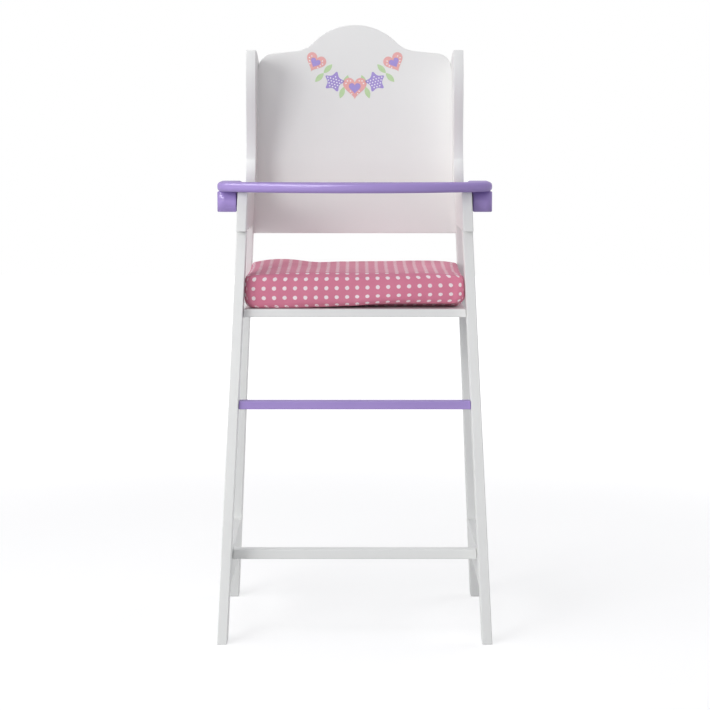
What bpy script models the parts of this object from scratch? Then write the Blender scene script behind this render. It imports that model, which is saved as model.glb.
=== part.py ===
# Doll high chair: two splayed side frames, a shaped back with wings, a seat with a
# loose cushion, and a tray on two arms that swings up and over the back.
# Units are metres. X is the chair's width, -Y its front, +Z up. Pieces are laid out
# from the middle of the footprint, and the chair_datum empty centres the whole chair.

import math

import bmesh
import bpy
from mathutils import Matrix, Vector

# Boards
BOARD = 0.0115              # thickness of the legs, arm rails, stretchers, wings and back
SEAT_BOARD = 0.0096         # thickness of the seat
FOOTREST_BOARD = 0.0097     # thickness of the footrest
TRAY_BOARD = 0.0113         # thickness of the tray
EASED_EDGE = 0.0009         # radius taken off every painted board edge
JOINT_GAP = 0.0003          # paint gap between boards that touch

# Side frames
FOOT_HALF_SPREAD = 0.160    # from the middle to the outside of a foot
SIDE_SPLAY = math.radians(2.76)
FRONT_FOOT_Y = -0.1485      # front edge of the front foot
REAR_FOOT_Y = 0.108         # front edge of the rear foot
LEG_DEPTH = 0.026           # leg width seen from the side
FRONT_RAKE = math.radians(5.4)
REAR_RAKE = math.radians(5.2)
RAIL_BOTTOM = 0.478         # underside of the arm rails, where the legs end
RAIL_HEIGHT = 0.0457
RAIL_OVERHANG = 0.0147      # arm rail ahead of the front leg
RAIL_TAIL = 0.012           # arm rail behind the pivot bolt
STRETCHER_TOP = 0.103
STRETCHER_HEIGHT = 0.040

# Seat and crosspieces
SEAT_TOP = 0.387
SEAT_FRONT_LAP = 0.0126     # seat's front end beside the front legs
SEAT_REAR_LAP = 0.0188      # seat's rear end beside the rear legs
FOOTREST_TOP = 0.2812
FOOTREST_DEPTH = 0.016
LOWER_RAIL_SETBACK = 0.011  # behind the front legs
LOWER_RAIL_DEPTH = 0.016

# Back panel
PANEL_SETBACK = 0.0075      # front of the panel behind the rear legs' front edges
PANEL_DROP = 0.011          # panel below the arm rails
SHOULDER_RISE = 0.1641      # outer end of the shoulder above the arm rails
SHOULDER_TILT = math.radians(6)
CREST_RISE = 0.0347         # crest above the shoulder
CREST_RADIUS = 0.072        # convex dome in the middle of the top edge
SWEEP_RADIUS = 0.036        # hollow curve from the dome down to the shoulder
PANEL_CORNER = 0.018

# Wings
WING_INSET = 0.0022         # wing's outside face set in from the arm rail's
WING_LEAN = math.radians(1.0)
WING_PROUD = 0.0016         # wing's front top above the panel's shoulder
WING_REAR_DROP = 0.013      # fall of the wing's top edge towards the back panel
WING_NOSE_DEPTH = 0.077     # wing ahead of the panel at its top
WING_NOSE_HEIGHT = 0.017    # straight part of the nose
WING_WAIST_DEPTH = 0.042    # wing ahead of the panel where the hollow ends
WING_FOOT_HEIGHT = 0.034    # straight part between the arm rail and the ledge
WING_LEDGE = 0.0025         # the lower front edge steps forward by this much
WING_NOSE_RADIUS = 0.002

# Tray
PIVOT_SETBACK = 0.0065      # pivot bolt behind the rear leg
ARM_WIDTH = 0.0225
ARM_HEIGHT = 0.0234
ARM_CORNER = 0.009          # rounded outer front corner of an arm
TRAY_OVERHANG = 0.0003      # tray outside its arms
TRAY_REACH = 0.062          # tray ahead of the arm rails
TRAY_DEPTH = 0.055          # tray from front to back in the middle
TRAY_CORNER = 0.030
TRAY_EDGE = 0.0048          # bullnose radius of the tray's rim
HORN_LENGTH = 0.050         # straight side of the tray over the arm
HORN_CORNER = 0.006
HORN_GAP = 0.0005           # the horns pass the wings by this when the tray swings up
BELLY_CORNER = 0.009

# Fasteners
BOLT_RADIUS = 0.0029
BOLT_HEAD_RADIUS = 0.0078
BOLT_HEAD_HEIGHT = 0.0036
WASHER_RADIUS = 0.0075
WASHER_THICKNESS = 0.0008
NUT_RADIUS = 0.0058
NUT_HEIGHT = 0.0048
NUT_DOME = 0.0036
SCREW_HEAD_RADIUS = 0.0038
SCREW_HEAD_HEIGHT = 0.0024
SCREW_SHANK_RADIUS = 0.0019
SCREW_LENGTH = 0.038
SCREW_TIP = 0.003
SCREW_SINK = 0.0005         # screw heads sit this far below the paint
SOCKET_RADIUS = 0.0016
SOCKET_DEPTH = 0.0016
TRAY_SCREW_LENGTH = 0.027
TRAY_SCREW_SINK = 0.005
DOWEL_RADIUS = 0.003
DOWEL_LENGTH = 0.024
BORE_GAP = 0.0003           # clearance round pins, dowels and screws
CUT_OVERRUN = 0.004         # how far a cutter runs past a face

# Cushion
CUSHION_FRONT_INSET = 0.0015
CUSHION_REAR_INSET = 0.0135
CUSHION_EDGE_HEIGHT = 0.034
CUSHION_CROWN = 0.0085
CUSHION_CORNER = 0.014
CUSHION_DRAW_SHARE = 0.012  # the sides pull in between the corners by this share
CUSHION_SIDE_GAP = 0.0006
CUSHION_ROUND = 0.008       # soft edge between the top or the base and the sides

# Counts and shares
ARC_STEPS = 8
CURVE_STEPS = 16
ROUND_SIDES = 12
EASED_ANGLE = math.radians(40)      # corners sharper than this are rounded
EDGE_SEGMENTS = 2
RIM_SEGMENTS = 3
BACK_SCREW_SHARES = (("low", 0.42), ("high", 0.80))
WING_SCREW_SHARES = (("low", 0.25), ("high", 0.75))
TRAY_SCREW_SHARES = (("front", 0.2), ("rear", 0.8))
WING_DOWEL_SHARES = (("front", 0.25), ("rear", 0.8))
STRETCHER_DOWEL_SHARE = 0.5
BOLT_DOME_SHARES = ((0.5, 0.86), (0.85, 0.5), (1, 0))
NUT_DOME_SHARES = ((0.86, 0), (0.6, 0.75))
CUSHION_COLUMNS = 22
CUSHION_ROWS = 15
CUSHION_BAND_ROWS = 6
CUSHION_ROUND_SHARES = (0.7, 0.8)   # how square the sides are, outwards and upwards
TRAY_BOW_SHARE = 1.45       # radius of the tray's bowed front over its half width
BELLY_BOW_SHARE = 6.5       # radius of the hollow's front edge over its half width

# Derived heights
SIDE_SLOPE = math.tan(SIDE_SPLAY)
SIDE_THICKNESS = BOARD / math.cos(SIDE_SPLAY)
FRONT_SLOPE = math.tan(FRONT_RAKE)
REAR_SLOPE = -math.tan(REAR_RAKE)
RAIL_TOP = RAIL_BOTTOM + RAIL_HEIGHT
STRETCHER_BOTTOM = STRETCHER_TOP - STRETCHER_HEIGHT
SEAT_MIDDLE = SEAT_TOP - SEAT_BOARD / 2
PANEL_BOTTOM = RAIL_BOTTOM - PANEL_DROP
SHOULDER_HEIGHT = RAIL_TOP + SHOULDER_RISE
CREST_HEIGHT = SHOULDER_HEIGHT + CREST_RISE
WING_BOTTOM = RAIL_TOP + JOINT_GAP
WING_FRONT_TOP = SHOULDER_HEIGHT + WING_PROUD
TRAY_BOTTOM = RAIL_TOP + JOINT_GAP
TRAY_TOP = TRAY_BOTTOM + TRAY_BOARD
ARM_TOP = TRAY_BOTTOM - JOINT_GAP
ARM_BOTTOM = ARM_TOP - ARM_HEIGHT
PIVOT_Z = ARM_TOP - ARM_HEIGHT / 2
SIDES = (("left", -1), ("right", 1))


def outer_x(z):
    """Outside face of a side frame at height z."""
    return FOOT_HALF_SPREAD - SIDE_SLOPE * z


def inner_x(z):
    """Inside face of a side frame at height z."""
    return outer_x(z) - SIDE_THICKNESS


def wing_outer_x(z):
    """Outside face of a wing at height z."""
    return outer_x(RAIL_TOP) - WING_INSET - math.tan(WING_LEAN) * (z - RAIL_TOP)


def wing_inner_x(z):
    """Inside face of a wing at height z."""
    return wing_outer_x(z) - BOARD


def front_leg_y(z):
    """Front edge of the front leg at height z."""
    return FRONT_FOOT_Y + FRONT_SLOPE * z


def rear_leg_y(z):
    """Front edge of the rear leg at height z."""
    return REAR_FOOT_Y + REAR_SLOPE * z


def corner_centre_y(front_y, bow_radius, half_width, corner):
    """Centre of the round that joins a bowed front to a straight side."""
    middle = front_y + bow_radius
    return middle - math.sqrt((bow_radius - corner) ** 2 - (half_width - corner) ** 2)


# Derived places from front to back and from side to side
RAIL_FRONT_Y = front_leg_y(RAIL_BOTTOM) - RAIL_OVERHANG
PANEL_FRONT_Y = rear_leg_y(RAIL_BOTTOM) + PANEL_SETBACK
PANEL_MIDDLE_Y = PANEL_FRONT_Y + BOARD / 2
PANEL_REAR_Y = PANEL_FRONT_Y + BOARD
WING_NOSE_Y = PANEL_FRONT_Y - WING_NOSE_DEPTH
WING_WAIST_Y = PANEL_FRONT_Y - WING_WAIST_DEPTH
PIVOT_Y = rear_leg_y(RAIL_BOTTOM) + LEG_DEPTH + PIVOT_SETBACK
RAIL_END_Y = PIVOT_Y + RAIL_TAIL
SEAT_FRONT_Y = front_leg_y(SEAT_MIDDLE) + LEG_DEPTH - SEAT_FRONT_LAP
SEAT_REAR_Y = rear_leg_y(SEAT_MIDDLE) + SEAT_REAR_LAP
LOWER_RAIL_FRONT_Y = front_leg_y(STRETCHER_TOP) + LEG_DEPTH + LOWER_RAIL_SETBACK
WASHER_X = outer_x(PIVOT_Z - WASHER_RADIUS) + JOINT_GAP
ARM_INNER_X = WASHER_X + WASHER_THICKNESS + JOINT_GAP
ARM_OUTER_X = ARM_INNER_X + ARM_WIDTH
HORN_INNER_X = wing_outer_x((WING_BOTTOM + WING_FRONT_TOP) / 2) + HORN_GAP
TRAY_HALF_WIDTH = ARM_OUTER_X + TRAY_OVERHANG
TRAY_FRONT_Y = RAIL_FRONT_Y - TRAY_REACH
TRAY_BOW_RADIUS = TRAY_HALF_WIDTH * TRAY_BOW_SHARE
BELLY_Y = TRAY_FRONT_Y + TRAY_DEPTH
BELLY_RADIUS = HORN_INNER_X * BELLY_BOW_SHARE
ARM_FRONT_Y = corner_centre_y(TRAY_FRONT_Y, TRAY_BOW_RADIUS, TRAY_HALF_WIDTH, TRAY_CORNER)
HORN_END_Y = ARM_FRONT_Y + HORN_LENGTH
DATUM_Y = -(TRAY_FRONT_Y + REAR_FOOT_Y + LEG_DEPTH) / 2


def remove_all():
    """Empty the scene."""
    for item in list(bpy.data.objects):
        bpy.data.objects.remove(item, do_unlink=True)


def finish_material(name, colour, roughness, metallic=0.0):
    """A plain Principled finish."""
    material = bpy.data.materials.new(name)
    material.use_nodes = True
    shader = material.node_tree.nodes["Principled BSDF"]
    shader.inputs["Base Color"].default_value = (*colour, 1.0)
    shader.inputs["Roughness"].default_value = roughness
    shader.inputs["Metallic"].default_value = metallic
    return material


WHITE_PAINT = ((0.86, 0.86, 0.85), 0.42)
LAVENDER_PAINT = ((0.42, 0.30, 0.70), 0.36)
ZINC = ((0.62, 0.63, 0.65), 0.32, 1.0)
BEECH = ((0.66, 0.49, 0.31), 0.62)
PINK_COTTON = ((0.72, 0.16, 0.27), 0.85)


def empty(name, place, parent=None):
    """An empty that carries other pieces."""
    holder = bpy.data.objects.new(name, None)
    holder.location = place
    holder.parent = parent
    bpy.context.collection.objects.link(holder)
    return holder


def piece(name, mesh, parent, look, origin=(0.0, 0.0, 0.0)):
    """Link a mesh as a named piece, its origin moved to the given point."""
    shift = Vector(origin)
    mesh.transform(Matrix.Translation(-shift))
    item = bpy.data.objects.new(name, mesh)
    item.location = shift - (parent.location if parent.name == "tray_pivot" else Vector())
    item.parent = parent
    item.data.materials.append(finish_material(f"{name}_finish", *look))
    bpy.context.collection.objects.link(item)
    return item


def cutter(name, mesh, parent):
    """Link a mesh as a hidden cutting tool."""
    tool = bpy.data.objects.new(name, mesh)
    if parent.name == "tray_pivot":
        tool.location = -parent.location
    tool.parent = parent
    tool.hide_render = True
    tool.display_type = "WIRE"
    bpy.context.collection.objects.link(tool)
    return tool


def ease(item, width, segments=EDGE_SEGMENTS):
    """Round a board's edges with a Bevel modifier."""
    bevel = item.modifiers.new("eased_edges", "BEVEL")
    bevel.width = width
    bevel.segments = segments
    bevel.limit_method = "ANGLE"
    bevel.angle_limit = EASED_ANGLE
    bevel.use_clamp_overlap = True


def cut(item, tool):
    """Take a cutter's shape out of a piece."""
    boolean = item.modifiers.new(f"cut_{tool.name}", "BOOLEAN")
    boolean.operation = "DIFFERENCE"
    boolean.solver = "EXACT"
    boolean.object = tool


def mesh_from(name, build):
    """Run a bmesh builder and return its mesh with outward faces."""
    shape = bmesh.new()
    build(shape)
    bmesh.ops.recalc_face_normals(shape, faces=shape.faces)
    mesh = bpy.data.meshes.new(name)
    shape.to_mesh(mesh)
    shape.free()
    return mesh


def skin(shape, low, high):
    """Close two matching rings of points into a solid."""
    bottom = [shape.verts.new(point) for point in low]
    top = [shape.verts.new(point) for point in high]
    shape.faces.new(bottom)
    shape.faces.new(top)
    for i in range(len(bottom)):
        j = (i + 1) % len(bottom)
        shape.faces.new((bottom[i], bottom[j], top[j], top[i]))


def side_board(name, side, outline, parent, look=WHITE_PAINT, outer=outer_x, inner=inner_x):
    """A board lying in a side frame's leaning plane, from its outline of (y, z)."""
    def build(shape):
        skin(shape, [(side * outer(z), y, z) for y, z in outline],
             [(side * inner(z), y, z) for y, z in outline])
    item = piece(name, mesh_from(name, build), parent, look)
    ease(item, EASED_EDGE)
    return item


def cross_board(name, half_width, low, high, front, depth, parent, look=WHITE_PAINT):
    """A crosspiece between the side frames; its ends follow the frames' lean."""
    def build(shape):
        ring = [(low, front), (high, front), (high, front + depth), (low, front + depth)]
        skin(shape, [(-half_width(z), y, z) for z, y in ring],
             [(half_width(z), y, z) for z, y in ring])
    item = piece(name, mesh_from(name, build), parent, look)
    ease(item, EASED_EDGE)
    return item


def arc(centre, radius, start, end, steps=ARC_STEPS):
    """Points along an arc, angles in radians, both ends included."""
    return [(centre[0] + radius * math.cos(start + (end - start) * i / steps),
             centre[1] + radius * math.sin(start + (end - start) * i / steps))
            for i in range(steps + 1)]


def turned(shape, profile, place, direction, sides=ROUND_SIDES):
    """Turn a profile of (radius, distance, hexagonal) about an axis into one solid."""
    turn = Vector((0, 0, 1)).rotation_difference(Vector(direction)).to_matrix().to_4x4()
    frame = Matrix.Translation(Vector(place)) @ turn
    rings = []
    for radius, along, hexagonal in profile:
        if rings and (radius, along, hexagonal) == profile[0]:
            rings.append(rings[0])
            continue
        if radius == 0:
            rings.append([shape.verts.new(frame @ Vector((0, 0, along)))])
            continue
        ring = []
        for i in range(sides):
            angle = 2 * math.pi * i / sides
            flat = math.cos(math.pi / 6) / math.cos(angle % (math.pi / 3) - math.pi / 6)
            reach = radius * (flat if hexagonal else 1)
            point = Vector((reach * math.cos(angle), reach * math.sin(angle), along))
            ring.append(shape.verts.new(frame @ point))
        rings.append(ring)
    for low, high in zip(rings, rings[1:]):
        for i in range(sides):
            j = (i + 1) % sides
            corners = [low[i % len(low)], low[j % len(low)], high[j % len(high)], high[i % len(high)]]
            shape.faces.new(list(dict.fromkeys(corners)))


def screw_profile(length):
    """Countersunk screw with a hexagon socket, from the socket's floor round to the tip."""
    return [(0, SOCKET_DEPTH, False), (SOCKET_RADIUS, SOCKET_DEPTH, True),
            (SOCKET_RADIUS, 0, True), (SCREW_HEAD_RADIUS, 0, False),
            (SCREW_SHANK_RADIUS, SCREW_HEAD_HEIGHT, False),
            (SCREW_SHANK_RADIUS, length - SCREW_TIP, False), (0, length, False)]


def screw_bore_profile(length, sink):
    """Hole for such a screw, open at its head."""
    head = SCREW_HEAD_RADIUS + BORE_GAP
    shank = SCREW_SHANK_RADIUS + BORE_GAP
    return [(0, -sink - CUT_OVERRUN, False), (head, -sink - CUT_OVERRUN, False),
            (head, BORE_GAP, False), (shank, SCREW_HEAD_HEIGHT + BORE_GAP, False),
            (shank, length, False), (0, length + BORE_GAP, False)]


def drill(name, profile, places, parent, boards):
    """Cut one hole for each place out of the boards that the fasteners join."""
    def build(shape):
        for place, direction in places.values():
            turned(shape, profile, place, direction)
    tool = cutter(f"{name}_bores", mesh_from(f"{name}_bores", build), parent)
    for board in boards:
        cut(board, tool)


def screws(name, places, length, sink, parent, boards):
    """Like screws, one piece each, and their holes in the boards that they join."""
    for label, (place, direction) in places.items():
        mesh = mesh_from(label, lambda shape: turned(shape, screw_profile(length), place, direction))
        piece(label, mesh, parent, ZINC)
    drill(name, screw_bore_profile(length, sink), places, parent, boards)


def rod_profile(radius, reach):
    """A plain rod centred on its place."""
    return [(0, -reach, False), (radius, -reach, False), (radius, reach, False), (0, reach, False)]


def dowels(name, places, parent, boards):
    """Like dowels, one piece each, centred on their places, and their holes."""
    half = DOWEL_LENGTH / 2
    for label, (place, direction) in places.items():
        mesh = mesh_from(label, lambda shape: turned(shape, rod_profile(DOWEL_RADIUS, half), place, direction))
        piece(label, mesh, parent, BEECH)
    drill(name, rod_profile(DOWEL_RADIUS + BORE_GAP, half + BORE_GAP), places, parent, boards)


def leg_outline(edge_y, top):
    """Outline of a raked leg from the floor to the rail."""
    return [(edge_y(0), 0), (edge_y(top), top), (edge_y(top) + LEG_DEPTH, top), (edge_y(0) + LEG_DEPTH, 0)]


def stretcher_outline():
    """Side stretcher, its ends cut along the legs."""
    low, high = STRETCHER_BOTTOM, STRETCHER_TOP
    front = [front_leg_y(z) + LEG_DEPTH + JOINT_GAP for z in (low, high)]
    rear = [rear_leg_y(z) - JOINT_GAP for z in (low, high)]
    return [(front[0], low), (front[1], high), (rear[1], high), (rear[0], low)]


def wing_outline():
    """Wing seen from the side: a nose at the top, a hollow, a small ledge, a straight foot."""
    nose_low = WING_FRONT_TOP - WING_NOSE_HEIGHT
    waist = WING_BOTTOM + WING_FOOT_HEIGHT
    points = [(WING_WAIST_Y - WING_LEDGE, WING_BOTTOM), (WING_WAIST_Y - WING_LEDGE, waist - WING_LEDGE)]
    points.append((WING_WAIST_Y, waist))
    for i in range(1, CURVE_STEPS + 1):
        share = i / CURVE_STEPS
        sweep = (1 - math.cos(math.pi * share)) / 2
        points.append((WING_WAIST_Y + (WING_NOSE_Y - WING_WAIST_Y) * sweep, waist + (nose_low - waist) * share))
    nose = (WING_NOSE_Y + WING_NOSE_RADIUS, WING_FRONT_TOP - WING_NOSE_RADIUS)
    points += arc(nose, WING_NOSE_RADIUS, math.pi, math.pi / 2)
    start = nose[0]
    for i in range(1, ARC_STEPS + 1):
        share = i / ARC_STEPS
        points.append((start + (PANEL_REAR_Y - start) * share, WING_FRONT_TOP - WING_REAR_DROP * share ** 2))
    points.append((PANEL_REAR_Y, WING_BOTTOM))
    return points


def panel_half_outline():
    """Right half of the back panel's outline, from the bottom edge up to the crest."""
    def rail_side(z):
        return inner_x(z) - JOINT_GAP

    def wing_side(z):
        return wing_inner_x(z) - JOINT_GAP
    corner_low = SHOULDER_HEIGHT - PANEL_CORNER
    corner_x = wing_side(corner_low) - PANEL_CORNER
    points = [(rail_side(PANEL_BOTTOM), PANEL_BOTTOM), (rail_side(RAIL_TOP - JOINT_GAP), RAIL_TOP - JOINT_GAP),
              (wing_side(WING_BOTTOM), RAIL_TOP - JOINT_GAP)]
    points += arc((corner_x, corner_low), PANEL_CORNER, 0, math.pi / 2 - SHOULDER_TILT)
    dome_z = CREST_HEIGHT - CREST_RADIUS
    reach = CREST_RADIUS + SWEEP_RADIUS
    tilt = math.tan(SHOULDER_TILT)
    height = corner_low + corner_x * tilt + (PANEL_CORNER + SWEEP_RADIUS) / math.cos(SHOULDER_TILT) - dome_z
    part = height * tilt
    sweep_x = (part + math.sqrt(part ** 2 - (1 + tilt ** 2) * (height ** 2 - reach ** 2))) / (1 + tilt ** 2)
    sweep_z = dome_z + height - sweep_x * tilt
    slope = math.atan2(sweep_z - dome_z, sweep_x)
    points += arc((sweep_x, sweep_z), SWEEP_RADIUS, -math.pi / 2 - SHOULDER_TILT, slope - math.pi)
    points += arc((0, dome_z), CREST_RADIUS, slope, math.pi / 2)[1:-1]
    return points


def mirrored(half, crest):
    """Whole outline from its right half and its top middle point."""
    return half + [crest] + [(-x, z) for x, z in reversed(half)]


def bowed_corner(front_y, bow_radius, half_width, corner):
    """Right half of a bowed front edge, from near the middle to the straight side."""
    middle = front_y + bow_radius
    centre = (half_width - corner, corner_centre_y(front_y, bow_radius, half_width, corner))
    meet = math.atan2(centre[1] - middle, centre[0])
    bow = arc((0, middle), bow_radius, -math.pi / 2, meet, CURVE_STEPS)
    return bow[1:-1] + arc(centre, corner, meet, 0)


def tray_outline():
    """The tray from above: bowed front, two horns beside the arm rails, a hollow for the doll."""
    outside = bowed_corner(TRAY_FRONT_Y, TRAY_BOW_RADIUS, TRAY_HALF_WIDTH, TRAY_CORNER)
    outside += arc((TRAY_HALF_WIDTH - HORN_CORNER, HORN_END_Y - HORN_CORNER), HORN_CORNER, 0, math.pi / 2)
    outside += arc((HORN_INNER_X + HORN_CORNER, HORN_END_Y - HORN_CORNER), HORN_CORNER, math.pi / 2, math.pi)
    hollow = bowed_corner(BELLY_Y, BELLY_RADIUS, HORN_INNER_X, BELLY_CORNER)
    right = outside + list(reversed(hollow))
    left = [(-x, y) for x, y in reversed(right)]
    return [(0, TRAY_FRONT_Y)] + right + [(0, BELLY_Y)] + left


def make_side_frame(name, side, datum):
    """Legs, arm rail, stretcher and wing of one side."""
    leg_top = RAIL_BOTTOM - JOINT_GAP
    rail = [(RAIL_FRONT_Y, RAIL_BOTTOM), (RAIL_FRONT_Y, RAIL_TOP), (RAIL_END_Y, RAIL_TOP), (RAIL_END_Y, RAIL_BOTTOM)]
    return {
        "front_leg": side_board(f"front_leg_{name}", side, leg_outline(front_leg_y, leg_top), datum),
        "rear_leg": side_board(f"rear_leg_{name}", side, leg_outline(rear_leg_y, leg_top), datum),
        "arm_rail": side_board(f"arm_rail_{name}", side, rail, datum),
        "stretcher": side_board(f"side_stretcher_{name}", side, stretcher_outline(), datum),
        "wing": side_board(f"wing_{name}", side, wing_outline(), datum, outer=wing_outer_x, inner=wing_inner_x),
    }


def make_back_panel(datum):
    """Shaped back board between the arm rails and the wings."""
    outline = mirrored(panel_half_outline(), (0, CREST_HEIGHT))

    def build(shape):
        skin(shape, [(x, PANEL_FRONT_Y, z) for x, z in outline], [(x, PANEL_REAR_Y, z) for x, z in outline])
    item = piece("back_panel", mesh_from("back_panel", build), datum, WHITE_PAINT)
    ease(item, EASED_EDGE)
    return item


def make_tray_board(pivot):
    """Tray board with a bullnose rim."""
    outline = tray_outline()

    def build(shape):
        skin(shape, [(x, y, TRAY_BOTTOM) for x, y in outline], [(x, y, TRAY_TOP) for x, y in outline])
    item = piece("tray_board", mesh_from("tray_board", build), pivot, LAVENDER_PAINT, pivot.location)
    ease(item, TRAY_EDGE, RIM_SEGMENTS)
    return item


def make_tray_arm(name, side, pivot):
    """Bar under the tray's edge, round at its tail, with its outer front corner rounded."""
    tail_radius = ARM_HEIGHT / 2
    tail = arc((PIVOT_Y, PIVOT_Z), tail_radius, -math.pi / 2, math.pi / 2)
    front_round = arc((ARM_OUTER_X - ARM_CORNER, ARM_FRONT_Y + ARM_CORNER), ARM_CORNER, 0, -math.pi / 2)
    plan = [(ARM_INNER_X, ARM_FRONT_Y)] + list(reversed(front_round))
    end_y = PIVOT_Y + tail_radius + CUT_OVERRUN
    plan += [(ARM_OUTER_X, end_y), (ARM_INNER_X, end_y)]

    def build(shape):
        skin(shape, [(side * x, y, ARM_BOTTOM) for x, y in plan], [(side * x, y, ARM_TOP) for x, y in plan])

    def build_profile(shape):
        far = end_y + CUT_OVERRUN
        ring = [(PIVOT_Y, ARM_BOTTOM - CUT_OVERRUN)] + tail + [(PIVOT_Y, ARM_TOP + CUT_OVERRUN),
                (far, ARM_TOP + CUT_OVERRUN), (far, ARM_BOTTOM - CUT_OVERRUN)]
        skin(shape, [(side * (ARM_INNER_X - CUT_OVERRUN), y, z) for y, z in ring],
             [(side * (ARM_OUTER_X + CUT_OVERRUN), y, z) for y, z in ring])
    label = f"tray_arm_{name}"
    item = piece(label, mesh_from(label, build), pivot, LAVENDER_PAINT, pivot.location)
    tool = cutter(f"{label}_tail_cut", mesh_from(f"{label}_tail_cut", build_profile), pivot)
    cut(item, tool)
    ease(item, EASED_EDGE)
    return item


def make_pivot(name, side, datum, rail, arm):
    """Bolt, washer and cap nut that carry one tray arm."""
    rail_inner = inner_x(PIVOT_Z + BOLT_HEAD_RADIUS)
    head_x = ARM_OUTER_X + JOINT_GAP
    nut_x = rail_inner - JOINT_GAP
    nut_end = nut_x - NUT_HEIGHT
    inward = (-side, 0, 0)
    length = head_x - nut_end
    bolt = [(0, -BOLT_HEAD_HEIGHT, False)]
    bolt += [(BOLT_HEAD_RADIUS * out, -BOLT_HEAD_HEIGHT * up, False) for out, up in BOLT_DOME_SHARES]
    bolt += [(BOLT_RADIUS, 0, False), (BOLT_RADIUS, length, False), (0, length, False)]
    hole = BOLT_RADIUS + BORE_GAP
    bore = [(0, -CUT_OVERRUN, False), (hole, -CUT_OVERRUN, False),
            (hole, length + CUT_OVERRUN, False), (0, length + CUT_OVERRUN, False)]
    hole_floor = NUT_HEIGHT + BORE_GAP
    nut = [(0, hole_floor, False), (hole, hole_floor, False), (hole, 0, False)]
    nut += [(NUT_RADIUS, 0, True), (NUT_RADIUS, NUT_HEIGHT, True)]
    nut += [(NUT_RADIUS * out, NUT_HEIGHT + NUT_DOME * up, False) for out, up in NUT_DOME_SHARES]
    nut += [(0, NUT_HEIGHT + NUT_DOME, False)]
    washer = [(hole, 0, False), (WASHER_RADIUS, 0, False), (WASHER_RADIUS, WASHER_THICKNESS, False),
              (hole, WASHER_THICKNESS, False), (hole, 0, False)]
    origin = (side * head_x, PIVOT_Y, PIVOT_Z)
    nut_place = (side * nut_x, PIVOT_Y, PIVOT_Z)
    washer_place = (side * (WASHER_X + WASHER_THICKNESS), PIVOT_Y, PIVOT_Z)
    for label, profile, place in (("bolt", bolt, origin), ("washer", washer, washer_place), ("cap_nut", nut, nut_place)):
        mesh = mesh_from(label, lambda shape: turned(shape, profile, place, inward))
        piece(f"pivot_{label}_{name}", mesh, datum, ZINC, place)
    mesh = mesh_from("pivot_bore", lambda shape: turned(shape, bore, origin, inward))
    tool = cutter(f"pivot_bore_{name}", mesh, datum)
    cut(rail, tool)
    cut(arm, tool)


def cushion_point(u, v, rise):
    """Point at shares u and v of the cushion's half width and depth; rise runs from -1 at the base to 1 at the top."""
    base = SEAT_TOP + JOINT_GAP
    half_height = CUSHION_EDGE_HEIGHT / 2
    outward, upward = CUSHION_ROUND_SHARES
    turn = rise * math.pi / 2
    swell = CUSHION_ROUND * max(math.cos(turn), 0) ** outward - CUSHION_ROUND
    z = base + half_height + math.copysign(half_height * abs(math.sin(turn)) ** upward, rise)
    front, rear = SEAT_FRONT_Y + CUSHION_FRONT_INSET, SEAT_REAR_Y - CUSHION_REAR_INSET
    half_width = inner_x(base + half_height) - CUSHION_SIDE_GAP
    ring_x = half_width * (1 - CUSHION_DRAW_SHARE * (1 - v * v)) + swell
    ring_y = (rear - front) / 2 * (1 - CUSHION_DRAW_SHARE * (1 - u * u)) + swell
    x, y = ring_x * u, ring_y * v
    over_x = abs(x) - (ring_x - CUSHION_CORNER)
    over_y = abs(y) - (ring_y - CUSHION_CORNER)
    if over_x > 0 and over_y > 0:
        fit = max(over_x, over_y) / math.hypot(over_x, over_y)
        x = math.copysign(ring_x - CUSHION_CORNER + over_x * fit, x)
        y = math.copysign(ring_y - CUSHION_CORNER + over_y * fit, y)
    if rise == 1:
        z += CUSHION_CROWN * (1 - abs(u) ** 3) * (1 - abs(v) ** 3)
    return (x, y + (front + rear) / 2, z)


def cushion_share(i, count):
    """Grid lines across the cushion, closer together near its edges."""
    plain = 2 * i / count - 1
    return (math.sin(plain * math.pi / 2) + plain) / 2


def make_cushion(datum):
    """Loose seat cushion: a crowned top, a flat base and soft sides drawn in between the corners."""
    columns, rows = CUSHION_COLUMNS, CUSHION_ROWS

    def build(shape):
        def spot(i, j, rise):
            return shape.verts.new(cushion_point(cushion_share(i, columns), cushion_share(j, rows), rise))
        rim = [(i, 0) for i in range(columns)] + [(columns, j) for j in range(rows)]
        rim += [(columns - i, rows) for i in range(columns)] + [(0, rows - j) for j in range(rows)]
        cells = [(i, j) for i in range(columns + 1) for j in range(rows + 1)]
        base, top = [{cell: spot(*cell, rise) for cell in cells} for rise in (-1, 1)]
        for grid in (base, top):
            for i in range(columns):
                for j in range(rows):
                    shape.faces.new([grid[i, j], grid[i + 1, j], grid[i + 1, j + 1], grid[i, j + 1]])
        bands = [[base[cell] for cell in rim]]
        for k in range(1, CUSHION_BAND_ROWS):
            rise = 2 * k / CUSHION_BAND_ROWS - 1
            bands.append([spot(i, j, rise) for i, j in rim])
        bands.append([top[cell] for cell in rim])
        for low, high in zip(bands, bands[1:]):
            for k in range(len(rim)):
                n = (k + 1) % len(rim)
                shape.faces.new([low[k], low[n], high[n], high[k]])
    item = piece("seat_cushion", mesh_from("seat_cushion", build), datum, PINK_COTTON)
    item.data.shade_smooth()
    return item


def through_sides(label, y, z, face=outer_x):
    """Screws driven level through both side frames towards the middle."""
    return {f"{label}_{name}": ((side * (face(z) - SCREW_SINK), y, z), (-side, 0, 0)) for name, side in SIDES}


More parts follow.
